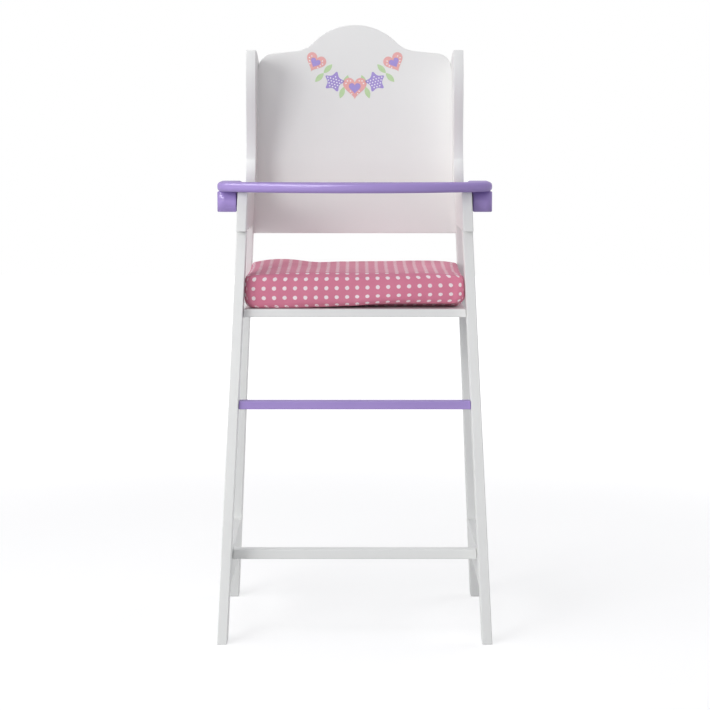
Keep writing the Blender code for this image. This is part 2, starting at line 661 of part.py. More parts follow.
def fasten(datum, pivot, frames, panel, seat, footrest, lower_rail, tray, arms):
    """Screws and dowels, with their holes."""
    def both(*parts):
        return [frames[name][part] for name, _ in SIDES for part in parts]
    seat_places = through_sides("seat_screw_front", SEAT_FRONT_Y + SEAT_FRONT_LAP / 2, SEAT_MIDDLE)
    seat_places.update(through_sides("seat_screw_rear", SEAT_REAR_Y - SEAT_REAR_LAP / 2, SEAT_MIDDLE))
    screws("seat", seat_places, SCREW_LENGTH, SCREW_SINK, datum, both("front_leg", "rear_leg") + [seat])

    foot_mid = FOOTREST_TOP - FOOTREST_BOARD / 2
    foot_places = through_sides("footrest_screw", front_leg_y(foot_mid) + LEG_DEPTH / 2, foot_mid)
    screws("footrest", foot_places, SCREW_LENGTH, SCREW_SINK, datum, both("front_leg") + [footrest])

    lower_y = LOWER_RAIL_FRONT_Y + LOWER_RAIL_DEPTH / 2
    lower_places = through_sides("lower_rail_screw", lower_y, STRETCHER_TOP - BOARD / 2)
    screws("lower_rail", lower_places, SCREW_LENGTH, SCREW_SINK, datum, both("stretcher") + [lower_rail])

    back_places, wing_places = {}, {}
    wing_height = WING_FRONT_TOP - WING_BOTTOM
    for level, share in BACK_SCREW_SHARES:
        back_places.update(through_sides(f"back_screw_{level}", PANEL_MIDDLE_Y, RAIL_BOTTOM + RAIL_HEIGHT * share))
    for level, share in WING_SCREW_SHARES:
        wing_places.update(through_sides(f"wing_screw_{level}", PANEL_MIDDLE_Y, WING_BOTTOM + wing_height * share,
                                         wing_outer_x))
    screws("back", back_places, SCREW_LENGTH, SCREW_SINK, datum, both("arm_rail") + [panel])
    screws("wing", wing_places, SCREW_LENGTH, SCREW_SINK, datum, both("wing") + [panel])

    arm_mid = (ARM_INNER_X + ARM_OUTER_X) / 2
    arm_run = HORN_END_Y - ARM_FRONT_Y
    tray_places = {f"tray_screw_{end}_{name}": ((side * arm_mid, ARM_FRONT_Y + arm_run * share,
                                                 ARM_BOTTOM + TRAY_SCREW_SINK), (0, 0, 1))
                   for name, side in SIDES for end, share in TRAY_SCREW_SHARES}
    screws("tray", tray_places, TRAY_SCREW_LENGTH, TRAY_SCREW_SINK, pivot, list(arms.values()) + [tray])

    leg_x = (outer_x(RAIL_BOTTOM) + inner_x(RAIL_BOTTOM)) / 2
    wing_x = (inner_x(RAIL_TOP) + wing_outer_x(RAIL_TOP)) / 2
    wing_foot = WING_WAIST_Y - WING_LEDGE
    wing_run = PANEL_FRONT_Y - wing_foot
    end_z = STRETCHER_BOTTOM + STRETCHER_HEIGHT * STRETCHER_DOWEL_SHARE
    end_x = (outer_x(end_z) + inner_x(end_z)) / 2
    leg_places, wing_pegs, end_places = {}, {}, {}
    for name, side in SIDES:
        for leg, edge in (("front", front_leg_y), ("rear", rear_leg_y)):
            leg_places[f"{leg}_leg_dowel_{name}"] = ((side * leg_x, edge(RAIL_BOTTOM) + LEG_DEPTH / 2, RAIL_BOTTOM),
                                                     (0, 0, 1))
        for end, share in WING_DOWEL_SHARES:
            wing_pegs[f"wing_dowel_{end}_{name}"] = ((side * wing_x, wing_foot + wing_run * share, RAIL_TOP), (0, 0, 1))
        end_places[f"stretcher_dowel_front_{name}"] = ((side * end_x, front_leg_y(end_z) + LEG_DEPTH, end_z), (0, 1, 0))
        end_places[f"stretcher_dowel_rear_{name}"] = ((side * end_x, rear_leg_y(end_z), end_z), (0, 1, 0))
    dowels("leg", leg_places, datum, both("front_leg", "rear_leg", "arm_rail"))
    dowels("wing", wing_pegs, datum, both("wing", "arm_rail"))
    dowels("stretcher", end_places, datum, both("front_leg", "rear_leg", "stretcher"))


def make_chair():
    """Build every piece of the chair."""
    datum = empty("chair_datum", (0, DATUM_Y, 0))
    pivot = empty("tray_pivot", (0, PIVOT_Y, PIVOT_Z), datum)
    frames = {name: make_side_frame(name, side, datum) for name, side in SIDES}
    panel = make_back_panel(datum)

    def between(z):
        return inner_x(z) - JOINT_GAP
    seat_low = SEAT_TOP - SEAT_BOARD
    seat = cross_board("seat_board", between, seat_low, SEAT_TOP, SEAT_FRONT_Y, SEAT_REAR_Y - SEAT_FRONT_Y, datum)
    foot_low = FOOTREST_TOP - FOOTREST_BOARD
    foot_mid = FOOTREST_TOP - FOOTREST_BOARD / 2
    foot_y = front_leg_y(foot_mid) + LEG_DEPTH / 2
    footrest = cross_board("footrest", between, foot_low, FOOTREST_TOP, foot_y - FOOTREST_DEPTH / 2,
                           FOOTREST_DEPTH, datum, LAVENDER_PAINT)
    rail_low = STRETCHER_TOP - BOARD
    lower_rail = cross_board("lower_front_rail", between, rail_low, STRETCHER_TOP, LOWER_RAIL_FRONT_Y,
                             LOWER_RAIL_DEPTH, datum)
    tray = make_tray_board(pivot)
    arms = {name: make_tray_arm(name, side, pivot) for name, side in SIDES}
    for name, side in SIDES:
        make_pivot(name, side, datum, frames[name]["arm_rail"], arms[name])

    fasten(datum, pivot, frames, panel, seat, footrest, lower_rail, tray, arms)
    make_cushion(datum)
    bpy.context.view_layer.update()


remove_all()
make_chair()
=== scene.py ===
# %% [markdown]
# # Doll high chair
#
# This lesson dresses a doll's high chair. Everything here only adds looks: lacquer,
# cloth, prints, light and a camera. Nothing in the frame is moved, so a piece goes
# exactly where the CAD says.

# %% Load the frame
from math import (atan, atan2, copysign, cos, degrees, exp, hypot, pi, radians, sin, sqrt,
                  tan, tanh)

import bmesh
import bpy
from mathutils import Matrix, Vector


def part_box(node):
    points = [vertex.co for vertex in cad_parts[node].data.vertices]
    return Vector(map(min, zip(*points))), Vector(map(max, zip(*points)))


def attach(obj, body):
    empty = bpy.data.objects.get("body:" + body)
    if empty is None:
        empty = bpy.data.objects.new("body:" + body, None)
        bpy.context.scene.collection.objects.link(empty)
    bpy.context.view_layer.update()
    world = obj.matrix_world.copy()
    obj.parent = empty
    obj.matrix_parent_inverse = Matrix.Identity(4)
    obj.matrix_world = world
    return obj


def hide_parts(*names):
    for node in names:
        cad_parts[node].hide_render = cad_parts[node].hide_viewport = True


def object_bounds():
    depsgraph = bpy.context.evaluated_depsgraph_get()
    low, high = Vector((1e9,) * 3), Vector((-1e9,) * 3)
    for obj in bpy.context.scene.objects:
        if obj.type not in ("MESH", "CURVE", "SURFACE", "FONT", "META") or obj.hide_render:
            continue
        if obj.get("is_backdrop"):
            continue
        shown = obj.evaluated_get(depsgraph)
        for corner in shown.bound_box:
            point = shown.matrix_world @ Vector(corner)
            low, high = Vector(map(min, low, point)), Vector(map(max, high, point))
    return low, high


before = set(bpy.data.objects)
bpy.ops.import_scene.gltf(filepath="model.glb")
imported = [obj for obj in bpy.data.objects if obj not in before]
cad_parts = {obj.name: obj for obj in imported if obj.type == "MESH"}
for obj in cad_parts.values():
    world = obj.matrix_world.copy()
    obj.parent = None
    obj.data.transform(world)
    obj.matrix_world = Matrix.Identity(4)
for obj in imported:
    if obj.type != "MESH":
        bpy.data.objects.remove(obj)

cad_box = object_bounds()
print("CAD box", [[round(value, 4) for value in corner] for corner in cad_box])

# %% [markdown]
# ## Units and small helpers
#
# Sizes are written in millimetres, as a maker thinks of them, and turned to metres by
# one factor. Colours are sRGB hex values, the form in which a photograph or a paint
# chart gives them. Blender computes light in linear values, so one function turns the
# one into the other. Another adds one node to a tree with its settings and links.

# %% Units, colours and nodes
MM = 0.001
SIDES = (("left", -1), ("right", 1))


def linear(code):
    """The linear RGBA colour of an sRGB hex value such as "#a595cc"."""
    shares = [int(code[i:i + 2], 16) / 255 for i in (1, 3, 5)]
    return (*(s / 12.92 if s <= 0.04045 else ((s + 0.055) / 1.055) ** 2.4 for s in shares), 1.0)


def add_node(tree, kind, settings=None):
    """Add one node. A socket, or a node's first output, is linked to the input of its name
    or number. Any other value is set there, or on the property of that name."""
    node = tree.nodes.new(kind)
    for name, value in (settings or {}).items():
        if isinstance(value, bpy.types.Node):
            value = value.outputs[0]
        if isinstance(value, bpy.types.NodeSocket):
            tree.links.new(value, node.inputs[name])
        elif isinstance(name, int) or name in node.inputs:
            node.inputs[name].default_value = value
        else:
            setattr(node, name, value)
    return node


def linked(name, data):
    """A new object for a mesh, a lamp or a camera, linked to the scene."""
    item = bpy.data.objects.new(name, data)
    bpy.context.scene.collection.objects.link(item)
    return item


print("mid grey in linear values", [round(value, 3) for value in linear("#808080")])

# %% [markdown]
# ## Camera
#
# The photograph was taken from in front and a little above, looking slightly down: the
# legs draw together towards the floor, and the tops of the tray and the cushion just
# show. A long lens far away does that. Its place and tilt follow from where the feet,
# the seat and the crest lie in the picture.

# %% Camera
PHOTO_SIDE = 710
FOCAL_PIXELS = 2147
SENSOR = 36
CAMERA_PLACE = Vector((0.0003, -2.5693, 0.6004))
CAMERA_TILT = radians(6.115)

camera = linked("photo_camera", bpy.data.cameras.new("photo_camera"))
camera.data.sensor_width = SENSOR
camera.data.lens = FOCAL_PIXELS / PHOTO_SIDE * SENSOR
camera.location = CAMERA_PLACE
camera.rotation_euler = (pi / 2 - CAMERA_TILT, 0, 0)
bpy.context.scene.camera = camera
bpy.context.scene.view_settings.view_transform = "Standard"
print("lens", round(camera.data.lens, 1), "mm")

# %% [markdown]
# ## Light, floor and background
#
# The picture is a studio shot. The main soft lamp stands on the left in front, about as
# high as the chair: the left wing's shade on the back panel tells where. Weak lamps in
# front, on the left and overhead fill in, and one behind on the right keeps the back
# from going dark, without a glare of its own on the tray. A large lamp high on the left
# is seen only in reflections, where it draws the long highlight on the tray's rim.
#
# White lacquer must stay a little under white, or its edges vanish. So the lamps stay
# low, and the background is made white another way: Light Path tells the world and the
# floor when the camera or a mirror reflection looks at them. The floor adds a glow for
# those rays only, more of it further away, so that it runs into the white background
# without a line and keeps the chair's shadow.

# %% World
AMBIENT = "#b0b0b4"
WHITE = (1, 1, 1, 1)


def show_by_ray(tree, output, in_light, seen):
    """Give the output one shader for the light's own rays, and another one where the
    camera, a reflection or a refraction looks."""
    ray = add_node(tree, "ShaderNodeLightPath").outputs
    looks = ray["Is Camera Ray"]
    for other in ("Is Glossy Ray", "Is Transmission Ray"):
        looks = add_node(tree, "ShaderNodeMath",
                         {"operation": "MAXIMUM", 0: looks, 1: ray[other]})
    either = add_node(tree, "ShaderNodeMixShader", {0: looks, 1: in_light, 2: seen})
    add_node(tree, output, {"Surface": either})


world = bpy.data.worlds.new("studio")
world.use_nodes = True
world.node_tree.nodes.clear()
ambient, backdrop = (add_node(world.node_tree, "ShaderNodeBackground", {"Color": colour})
                     for colour in (linear(AMBIENT), WHITE))
show_by_ray(world.node_tree, "ShaderNodeOutputWorld", ambient, backdrop)
bpy.context.scene.world = world
print("world", world.name)

# %% Lamps
CHAIR_MIDDLE = Vector((0, 0, 0.42))
# Each lamp's place, its width and height in metres, and its watts.
LAMPS = {"main_lamp": ((-1.45, -2.25, 1.15), (1.0, 1.0), 23.6),
         "front_lamp": ((0.0, -2.9, 0.7), (1.4, 1.0), 7.4),
         "left_lamp": ((-2.4, -0.9, 1.1), (2.2, 2.2), 17.8),
         "overhead_lamp": ((-0.5, -0.8, 2.3), (1.5, 0.6), 6.4),
         "rear_lamp": ((2.6, 1.7, 1.2), (2.2, 2.2), 28),
         "glint_lamp": ((-1.4, -0.9, 2.3), (3.2, 1.4), 250)}

for name, (place, lamp_size, watts) in LAMPS.items():
    lamp = linked(name, bpy.data.lights.new(name, "AREA"))
    lamp.data.shape = "RECTANGLE"
    lamp.data.size, lamp.data.size_y = lamp_size
    lamp.data.energy = watts
    lamp.location = place
    lamp.rotation_euler = (CHAIR_MIDDLE - Vector(place)).to_track_quat("-Z", "Y").to_euler()
    lamp.visible_glossy = name != "rear_lamp"
    lamp.visible_diffuse = name != "glint_lamp"
print("lamps", list(LAMPS))

# %% Floor
FLOOR_HALF = 6.0
FLOOR_PAINT = "#c0c0c0"
GLOW_NEAR, GLOW_FAR = 0.585, 1.0
GLOW_REACH = (0.7, 2.6)

floor_mesh = bpy.data.meshes.new("studio_floor")
floor_mesh.from_pydata([(x * FLOOR_HALF, y * FLOOR_HALF, 0)
                        for x, y in ((-1, -1), (1, -1), (1, 1), (-1, 1))], [], [(0, 1, 2, 3)])
floor_finish = bpy.data.materials.new("matt_studio_floor")
floor_finish.use_nodes = True
floor_tree = floor_finish.node_tree
floor_tree.nodes.clear()
matt = add_node(floor_tree, "ShaderNodeBsdfDiffuse", {"Color": linear(FLOOR_PAINT)})
spot = add_node(floor_tree, "ShaderNodeTexCoord").outputs["Object"]
away = add_node(floor_tree, "ShaderNodeVectorMath", {"operation": "LENGTH", 0: spot})
fading = add_node(floor_tree, "ShaderNodeMapRange",
                  {"interpolation_type": "SMOOTHSTEP", "Value": away.outputs["Value"],
                   "From Min": GLOW_REACH[0], "From Max": GLOW_REACH[1],
                   "To Min": GLOW_NEAR, "To Max": GLOW_FAR})
glow = add_node(floor_tree, "ShaderNodeEmission", {"Color": WHITE, "Strength": fading})
both = add_node(floor_tree, "ShaderNodeAddShader", {0: matt, 1: glow})
show_by_ray(floor_tree, "ShaderNodeOutputMaterial", matt, both)
floor_mesh.materials.append(floor_finish)
linked("studio_floor", floor_mesh)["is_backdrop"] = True
print("floor", 2 * FLOOR_HALF, "m wide")

# %% [markdown]
# ## Lacquer and zinc
#
# The chair is cut from 11.5 mm board, sprayed with a satin white lacquer, and its tray
# and footrest are lavender. Sprayed lacquer levels out almost flat but keeps a faint
# ripple called orange peel, a millimetre or two across, and the pigment is never
# perfectly even. So the colour drifts slowly between two close values, the gloss
# drifts with it, and a fine noise drives a very small bump. The white is almost matt.
# The lavender has a thin clear coat, under which its pigment has no shine of its own.
#
# Bolts, nuts and screws are steel plated with zinc, which gives a cool, slightly cloudy
# shine: the same recipe with patches a few millimetres wide, and metallic. It all
# reads Object coordinates, which are metres here, so a pattern's scale is one over its
# real size.

# %% Lacquer and zinc
def new_finish(name, shines):
    """A new material, its tree, its shader with some values set, and Object coordinates."""
    finish = bpy.data.materials.new(name)
    finish.use_nodes = True
    tree = finish.node_tree
    shader = tree.nodes["Principled BSDF"]
    for socket, value in shines.items():
        shader.inputs[socket].default_value = value
    return finish, tree, shader, add_node(tree, "ShaderNodeTexCoord").outputs["Object"]


def colour_and_relief(tree, shader, first, second, share, strength, depth, height):
    """Mix two colours by a share, turn a height into a bump, and give the shader both."""
    tint = add_node(tree, "ShaderNodeMix", {"data_type": "RGBA", 0: share, 6: first, 7: second})
    bump = add_node(tree, "ShaderNodeBump",
                    {"Strength": strength, "Distance": depth, "Height": height})
    tree.links.new(tint.outputs[2], shader.inputs["Base Color"])
    tree.links.new(bump.outputs[0], shader.inputs["Normal"])


def clouded_finish(name, pale, deep, patch, detail, relief, shines, gloss=None, grain=None):
    """A finish whose colour drifts in soft patches, and its gloss with it where a range is
    given. The relief follows a finer grain, or the patches themselves."""
    finish, tree, shader, place = new_finish(name, shines)
    patches = height = add_node(tree, "ShaderNodeTexNoise",
                                {"Scale": 1 / patch, "Detail": detail, "Vector": place})
    if gloss:
        span = add_node(tree, "ShaderNodeMapRange",
                        {"To Min": gloss[0], "To Max": gloss[1], "Value": patches})
        tree.links.new(span.outputs[0], shader.inputs["Roughness"])
    if grain:
        height = add_node(tree, "ShaderNodeTexNoise", {"Scale": 1 / grain, "Vector": place})
    colour_and_relief(tree, shader, linear(pale), linear(deep), patches, *relief, height)
    return finish


DRIFT, ORANGE_PEEL, PEEL_RELIEF = 70 * MM, 1.6 * MM, (0.12, 0.05 * MM)
white_lacquer = clouded_finish(
    "satin_white_lacquer", "#ebecea", "#e5e6e4", DRIFT, 3.0, PEEL_RELIEF,
    {"IOR": 1.47, "Specular IOR Level": 0.13, "Coat Weight": 0.03, "Coat Roughness": 0.2},
    (0.37, 0.47), ORANGE_PEEL)
lavender_lacquer = clouded_finish(
    "satin_lavender_lacquer", "#aa95d2", "#a28dcb", DRIFT, 3.0, PEEL_RELIEF,
    {"IOR": 1.47, "Specular IOR Level": 0.0, "Coat Weight": 0.35, "Coat Roughness": 0.22},
    (0.27, 0.37), ORANGE_PEEL)
zinc = clouded_finish("zinc_plated_steel", "#c9cdd1", "#aeb3b9", 4 * MM, 4.0, (0.15, 0.02 * MM),
                      {"Metallic": 1.0}, (0.24, 0.4), 0.4 * MM)
print("finishes", white_lacquer.name, lavender_lacquer.name, zinc.name)

# %% Lacquer on the straight boards
PAIRED_BOARDS = ("front_leg", "rear_leg", "arm_rail", "side_stretcher")
WHITE_BOARDS = [f"{board}_{side}" for board in PAIRED_BOARDS for side, _ in SIDES]
WHITE_BOARDS += ["seat_board", "lower_front_rail"]


def finish_nodes(names, finish):
    """Give some CAD nodes their finish."""
    for name in names:
        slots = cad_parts[name].data.materials
        slots.clear()
        slots.append(finish)


finish_nodes(WHITE_BOARDS, white_lacquer)
finish_nodes(["footrest"], lavender_lacquer)
print("lacquered", len(WHITE_BOARDS) + 1, "straight boards")

# %% [markdown]
# ## A board with rounded edges
#
# The shaped boards are sawn to an outline and then run past a router, which rounds
# both edges. Stacked rings do the same: the outline is moved inwards a little at each
# step round a quarter circle, once for each edge. One more ring just inside each face
# keeps the smooth shading of the edge from spreading over the flat of the board.

# %% Rounded board
EDGE_STEPS = 5
HOLDING_RING = 0.5 * MM


def moved_inwards(outline, distance):
    """A closed outline, drawn anticlockwise, moved inwards by a distance."""
    ring = []
    points = [Vector(point) for point in outline]
    for before, here, after in zip(points[-1:] + points, points, points[1:] + points[:1]):
        first, second = (here - before).normalized(), (after - here).normalized()
        left, right = Vector((-first.y, first.x)), Vector((-second.y, second.x))
        ring.append(here + (left + right) * (distance / (1 + left.dot(right))))
    return ring


def join_rings(shape, rings):
    """Close the surface between each ring of points and the next one."""
    for low, high in zip(rings, rings[1:]):
        for i in range(len(low)):
            j = (i + 1) % len(low)
            shape.faces.new(list(dict.fromkeys((low[i], low[j], high[j], high[i]))))


def finished_mesh(name, shape, finish):
    """The object of a shape built in bmesh, smooth apart from its sharp edges."""
    mesh = bpy.data.meshes.new(name)
    shape.to_mesh(mesh)
    shape.free()
    mesh.polygons.foreach_set("use_smooth", [True] * len(mesh.polygons))
    mesh.materials.append(finish)
    return linked(name, mesh)


def rounded_board(name, outline, thickness, rounding, place, finish, slices=1):
    """A board from its outline; place turns outline coordinates and a depth into a point."""
    levels = [(rounding + HOLDING_RING, 0)]
    for i in range(EDGE_STEPS + 1):
        turn = pi / 2 * i / EDGE_STEPS
        levels.append((rounding * (1 - sin(turn)), rounding * (1 - cos(turn))))
    far_levels = [(inset, thickness - depth) for inset, depth in reversed(levels)]
    middle = [(0, rounding + (thickness - 2 * rounding) * i / slices) for i in range(1, slices)]
    shape = bmesh.new()
    rings = [[shape.verts.new(place(*point, depth)) for point in moved_inwards(outline, inset)]
             for inset, depth in levels + middle + far_levels]
    join_rings(shape, rings)
    shape.faces.new(rings[0])
    shape.faces.new(rings[-1])
    bmesh.ops.recalc_face_normals(shape, faces=shape.faces)
    bmesh.ops.triangulate(shape, faces=[face for face in shape.faces if len(face.verts) > 4])
    return finished_mesh(name, shape, finish)


def arc(centre, radius, start, end, steps):
    """Points along an arc from one angle to another, both ends included."""
    angles = [start + (end - start) * i / steps for i in range(steps + 1)]
    return [(centre[0] + radius * cos(a), centre[1] + radius * sin(a)) for a in angles]


def mirrored(half, head):
    """An outline from its right half, the point where that ends on the middle line, and back."""
    return half + [head] + [(-across, other) for across, other in reversed(half)]


def dressed(piece, body, slot_name, *nodes):
    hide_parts(*nodes)
    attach(piece, body)
    return piece


print("a quarter circle in", EDGE_STEPS, "steps for each board edge")

# %% [markdown]
# ## Tray board
#
# The tray is a shallow bow with a horn down each side, and its hollow leaves room for
# the doll. Its rim is rounded much more than the other boards, almost to a half round,
# and that is what catches the long highlight in the photograph. The outside is one
# large arc that runs into a smaller one at each corner without a kink: the centre of
# the corner lies where both arcs share a tangent. The horns stay clear of the wings,
# so the tray can swing up and over the back.

# %% Tray board
WING_LEAN = radians(1.0)
BOW_SHARE, BELLY_SHARE = 1.45, 6.5
TRAY_DEPTH = 55 * MM
TRAY_CORNER, BELLY_CORNER = 30 * MM, 9 * MM
HORN_CORNER, HORN_INNER_CORNER = 6 * MM, 5.4 * MM
HORN_GAP = 0.5 * MM
RIM_INSET = 1.0 * MM
TRAY_ROUNDING = 4.6 * MM
BOW_STEPS, BELLY_STEPS, CORNER_STEPS = 40, 24, 12
HORN_STEPS, HORN_INNER_STEPS = 10, 8


def bowed_side(front, radius, half_width, corner, steps):
    """Right half of a bowed edge with its corner, from the middle outwards."""
    middle = front + radius
    across = half_width - corner
    centre = (across, middle - sqrt((radius - corner) ** 2 - across ** 2))
    meet = atan2(centre[1] - middle, centre[0])
    bow = arc((0, middle), radius, -pi / 2, meet, steps)
    return bow[1:-1] + arc(centre, corner, meet, 0, CORNER_STEPS)


def leaning_face(node, outer, lean):
    """A function of height: x of a leaning side board's inner or outer face."""
    low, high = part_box(node)
    if outer:
        return lambda z: high.x - tan(lean) * (z - low.z)
    return lambda z: low.x + tan(lean) * (high.z - z)


wing_low, wing_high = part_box("wing_right")
tray_low, tray_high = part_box("tray_board")
wing_outside = leaning_face("wing_right", True, WING_LEAN)
horn_x = wing_outside((wing_low.z + wing_high.z) / 2) + HORN_GAP
rim_x = tray_high.x - RIM_INSET
belly_y = tray_low.y + TRAY_DEPTH
half_tray = bowed_side(tray_low.y, rim_x * BOW_SHARE, rim_x, TRAY_CORNER, BOW_STEPS)
half_tray += arc((rim_x - HORN_CORNER, tray_high.y - HORN_CORNER), HORN_CORNER,
                 0, pi / 2, HORN_STEPS)
half_tray += arc((horn_x + HORN_INNER_CORNER, tray_high.y - HORN_INNER_CORNER),
                 HORN_INNER_CORNER, pi / 2, pi, HORN_INNER_STEPS)
half_tray += bowed_side(belly_y, horn_x * BELLY_SHARE, horn_x, BELLY_CORNER, BELLY_STEPS)[::-1]
tray_top = rounded_board("tray_top", [(0, tray_low.y)] + mirrored(half_tray, (0, belly_y)),
                         tray_high.z - tray_low.z, TRAY_ROUNDING,
                         lambda x, y, depth: (x, y, tray_low.z + depth), lavender_lacquer)
dressed(tray_top, "tray", "lavender_paint", "tray_board")
print("tray", len(tray_top.data.polygons), "faces")

# %% [markdown]
# ## Tray arms
#
# Under each end of the tray runs a square bar, screwed up into the board, with its far
# end rounded about the pivot bolt so that it can turn. Each bar is drawn from the side
# and given its width in many thin steps. Its square front end is then pushed back in
# the outer steps along a quarter circle, and that makes the rounded outer corner.

# %% Tray arms
ARM_CORNER = 9 * MM
ARM_ROUNDING = 1.3 * MM
ARM_SLICES = 14
TAIL_STEPS = 32

for side, mirror in SIDES:
    low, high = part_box(f"tray_arm_{side}")
    inside, width, tail = min(abs(low.x), abs(high.x)), high.x - low.x, (high.z - low.z) / 2

    def bar_point(y, z, depth):
        """A point of the bar at a depth from its inner face."""
        into_corner = max(depth - (width - ARM_CORNER), 0)
        pushed = ARM_CORNER - sqrt(max(ARM_CORNER ** 2 - into_corner ** 2, 0))
        return (mirror * (inside + depth), max(y, low.y + pushed), z)
    outline = arc((high.y - tail, low.z + tail), tail, -pi / 2, pi / 2, TAIL_STEPS)
    bar = rounded_board(f"tray_bar_{side}", [(low.y, low.z)] + outline + [(low.y, high.z)], width,
                        ARM_ROUNDING, bar_point, lavender_lacquer, ARM_SLICES)
    dressed(bar, "tray", "lavender_paint", f"tray_arm_{side}")
    print("tray bar", side, len(bar.data.polygons), "faces")

# %% [markdown]
# ## Back panel
#
# The back is one board between the wings: a dome in the middle, a hollow sweep down to
# each shoulder and a round corner. The sweep touches both the dome and the straight
# shoulder, so its centre is where a circle of its radius can roll against the two. The
# board is glued and screwed between the wings and the arm rails, and the lacquer closes
# the joint. So its sides run a little way into them, which leaves no dark gap, and only
# its free edges show their small rounding.

# %% Back panel
SIDE_SPLAY = radians(2.76)
BURIED = 0.9 * MM
PANEL_ROUNDING = 0.8 * MM
PANEL_CORNER = 18 * MM
SHOULDER_TILT = radians(6)
CREST_RISE = 34.7 * MM
CREST_RADIUS, SWEEP_RADIUS = 72 * MM, 36 * MM
SHOULDER_STEPS, SWEEP_STEPS, DOME_STEPS = 16, 20, 28

panel_low, panel_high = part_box("back_panel")
_, rail_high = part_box("arm_rail_right")
wing_inside = leaning_face("wing_right", False, WING_LEAN)
rail_inside = leaning_face("arm_rail_right", False, SIDE_SPLAY)

corner_z = panel_high.z - CREST_RISE - PANEL_CORNER
corner_x = wing_inside(corner_z) - PANEL_CORNER
dome_z = panel_high.z - CREST_RADIUS
tilt = tan(SHOULDER_TILT)
height = corner_z - dome_z + corner_x * tilt
height += (PANEL_CORNER + SWEEP_RADIUS) / cos(SHOULDER_TILT)
part = height * tilt
spare = part ** 2 - (1 + tilt ** 2) * (height ** 2 - (CREST_RADIUS + SWEEP_RADIUS) ** 2)
sweep_x = (part + sqrt(spare)) / (1 + tilt ** 2)
sweep_z = dome_z + height - sweep_x * tilt
slope = atan2(sweep_z - dome_z, sweep_x)

half_panel = [(face(z) + BURIED, z)
              for face, z in ((rail_inside, panel_low.z), (rail_inside, rail_high.z),
                              (wing_inside, rail_high.z), (wing_inside, corner_z))]
half_panel += arc((corner_x, corner_z), PANEL_CORNER,
                  0, pi / 2 - SHOULDER_TILT, SHOULDER_STEPS)
half_panel += arc((sweep_x, sweep_z), SWEEP_RADIUS,
                  -pi / 2 - SHOULDER_TILT, slope - pi, SWEEP_STEPS)
half_panel += arc((0, dome_z), CREST_RADIUS, slope, pi / 2, DOME_STEPS)[1:-1]
panel = rounded_board("back_board", mirrored(half_panel, (0, panel_high.z)),
                      panel_high.y - panel_low.y, PANEL_ROUNDING,
                      lambda x, z, depth: (x, panel_low.y + depth, z), white_lacquer)
dressed(panel, "chair", "white_paint", "back_panel")
print("back board", len(panel.data.polygons), "faces")

# %% [markdown]
# ## Wings
#
# A wing stands on each arm rail and keeps the doll in. Seen from the side it has a
# nose at the top, a long hollow below it and a small ledge above a straight foot. The
# hollow follows half a cosine wave, so it leaves the nose and the foot upright. The
# board leans in by one degree, so each point's place across comes from its height.

# %% Wings
WING_ROUNDING = 0.5 * MM
WAIST_DEPTH = 42 * MM
NOSE_HEIGHT, NOSE_RADIUS = 17 * MM, 2 * MM
FOOT_HEIGHT, LEDGE = 34 * MM, 2.5 * MM
REAR_DROP = 13 * MM
HOLLOW_STEPS, NOSE_STEPS, TOP_STEPS = 40, 6, 16

waist_y, nose_y = panel_low.y - WAIST_DEPTH, wing_low.y + NOSE_RADIUS
foot_z, nose_z = wing_low.z + FOOT_HEIGHT, wing_high.z - NOSE_HEIGHT
wing_outline = [(waist_y - LEDGE, wing_low.z), (waist_y - LEDGE, foot_z - LEDGE),
                (waist_y, foot_z)]
for i in range(1, HOLLOW_STEPS + 1):
    sweep = (1 - cos(pi * i / HOLLOW_STEPS)) / 2
    wing_outline.append((waist_y + (wing_low.y - waist_y) * sweep,
                         foot_z + (nose_z - foot_z) * i / HOLLOW_STEPS))
wing_outline += arc((nose_y, wing_high.z - NOSE_RADIUS), NOSE_RADIUS,
                    pi, pi / 2, NOSE_STEPS)
for i in range(1, TOP_STEPS + 1):
    wing_outline.append((nose_y + (wing_high.y - nose_y) * i / TOP_STEPS,
                         wing_high.z - REAR_DROP * (i / TOP_STEPS) ** 2))
wing_outline.append((wing_high.y, wing_low.z))
for side, mirror in SIDES:
    wing = rounded_board(f"wing_board_{side}", wing_outline[::-1],
                         wing_outside(wing_low.z) - wing_inside(wing_low.z), WING_ROUNDING,
                         lambda y, z, depth: (mirror * (wing_outside(z) - depth), y, z),
                         white_lacquer)
    dressed(wing, "chair", "white_paint", f"wing_{side}")
    print("wing", side, len(wing.data.polygons), "faces")

# %% [markdown]
# ## Turned hardware
#
# Bolts, nuts and screw heads are turned or pressed from steel wire. A turned piece is a
# profile swept round an axis. Where the profile says so, a ring is a hexagon: 48 sides
# are eight to each flat, so the corners come out sharp. Edges over 35 degrees stay
# sharp and the rest is shaded smooth.
#
# On each side a domed bolt passes through the tray bar, a washer and the arm rail, and
# ends in a cap nut, so that no thread can scratch a child. The bolt's head has a
# hexagon socket. The nut's corners are chamfered: its end rings are round and as wide
# as the flats, and the next ones are hexagons.

# %% Turned piece
SHARP_ANGLE = radians(35)


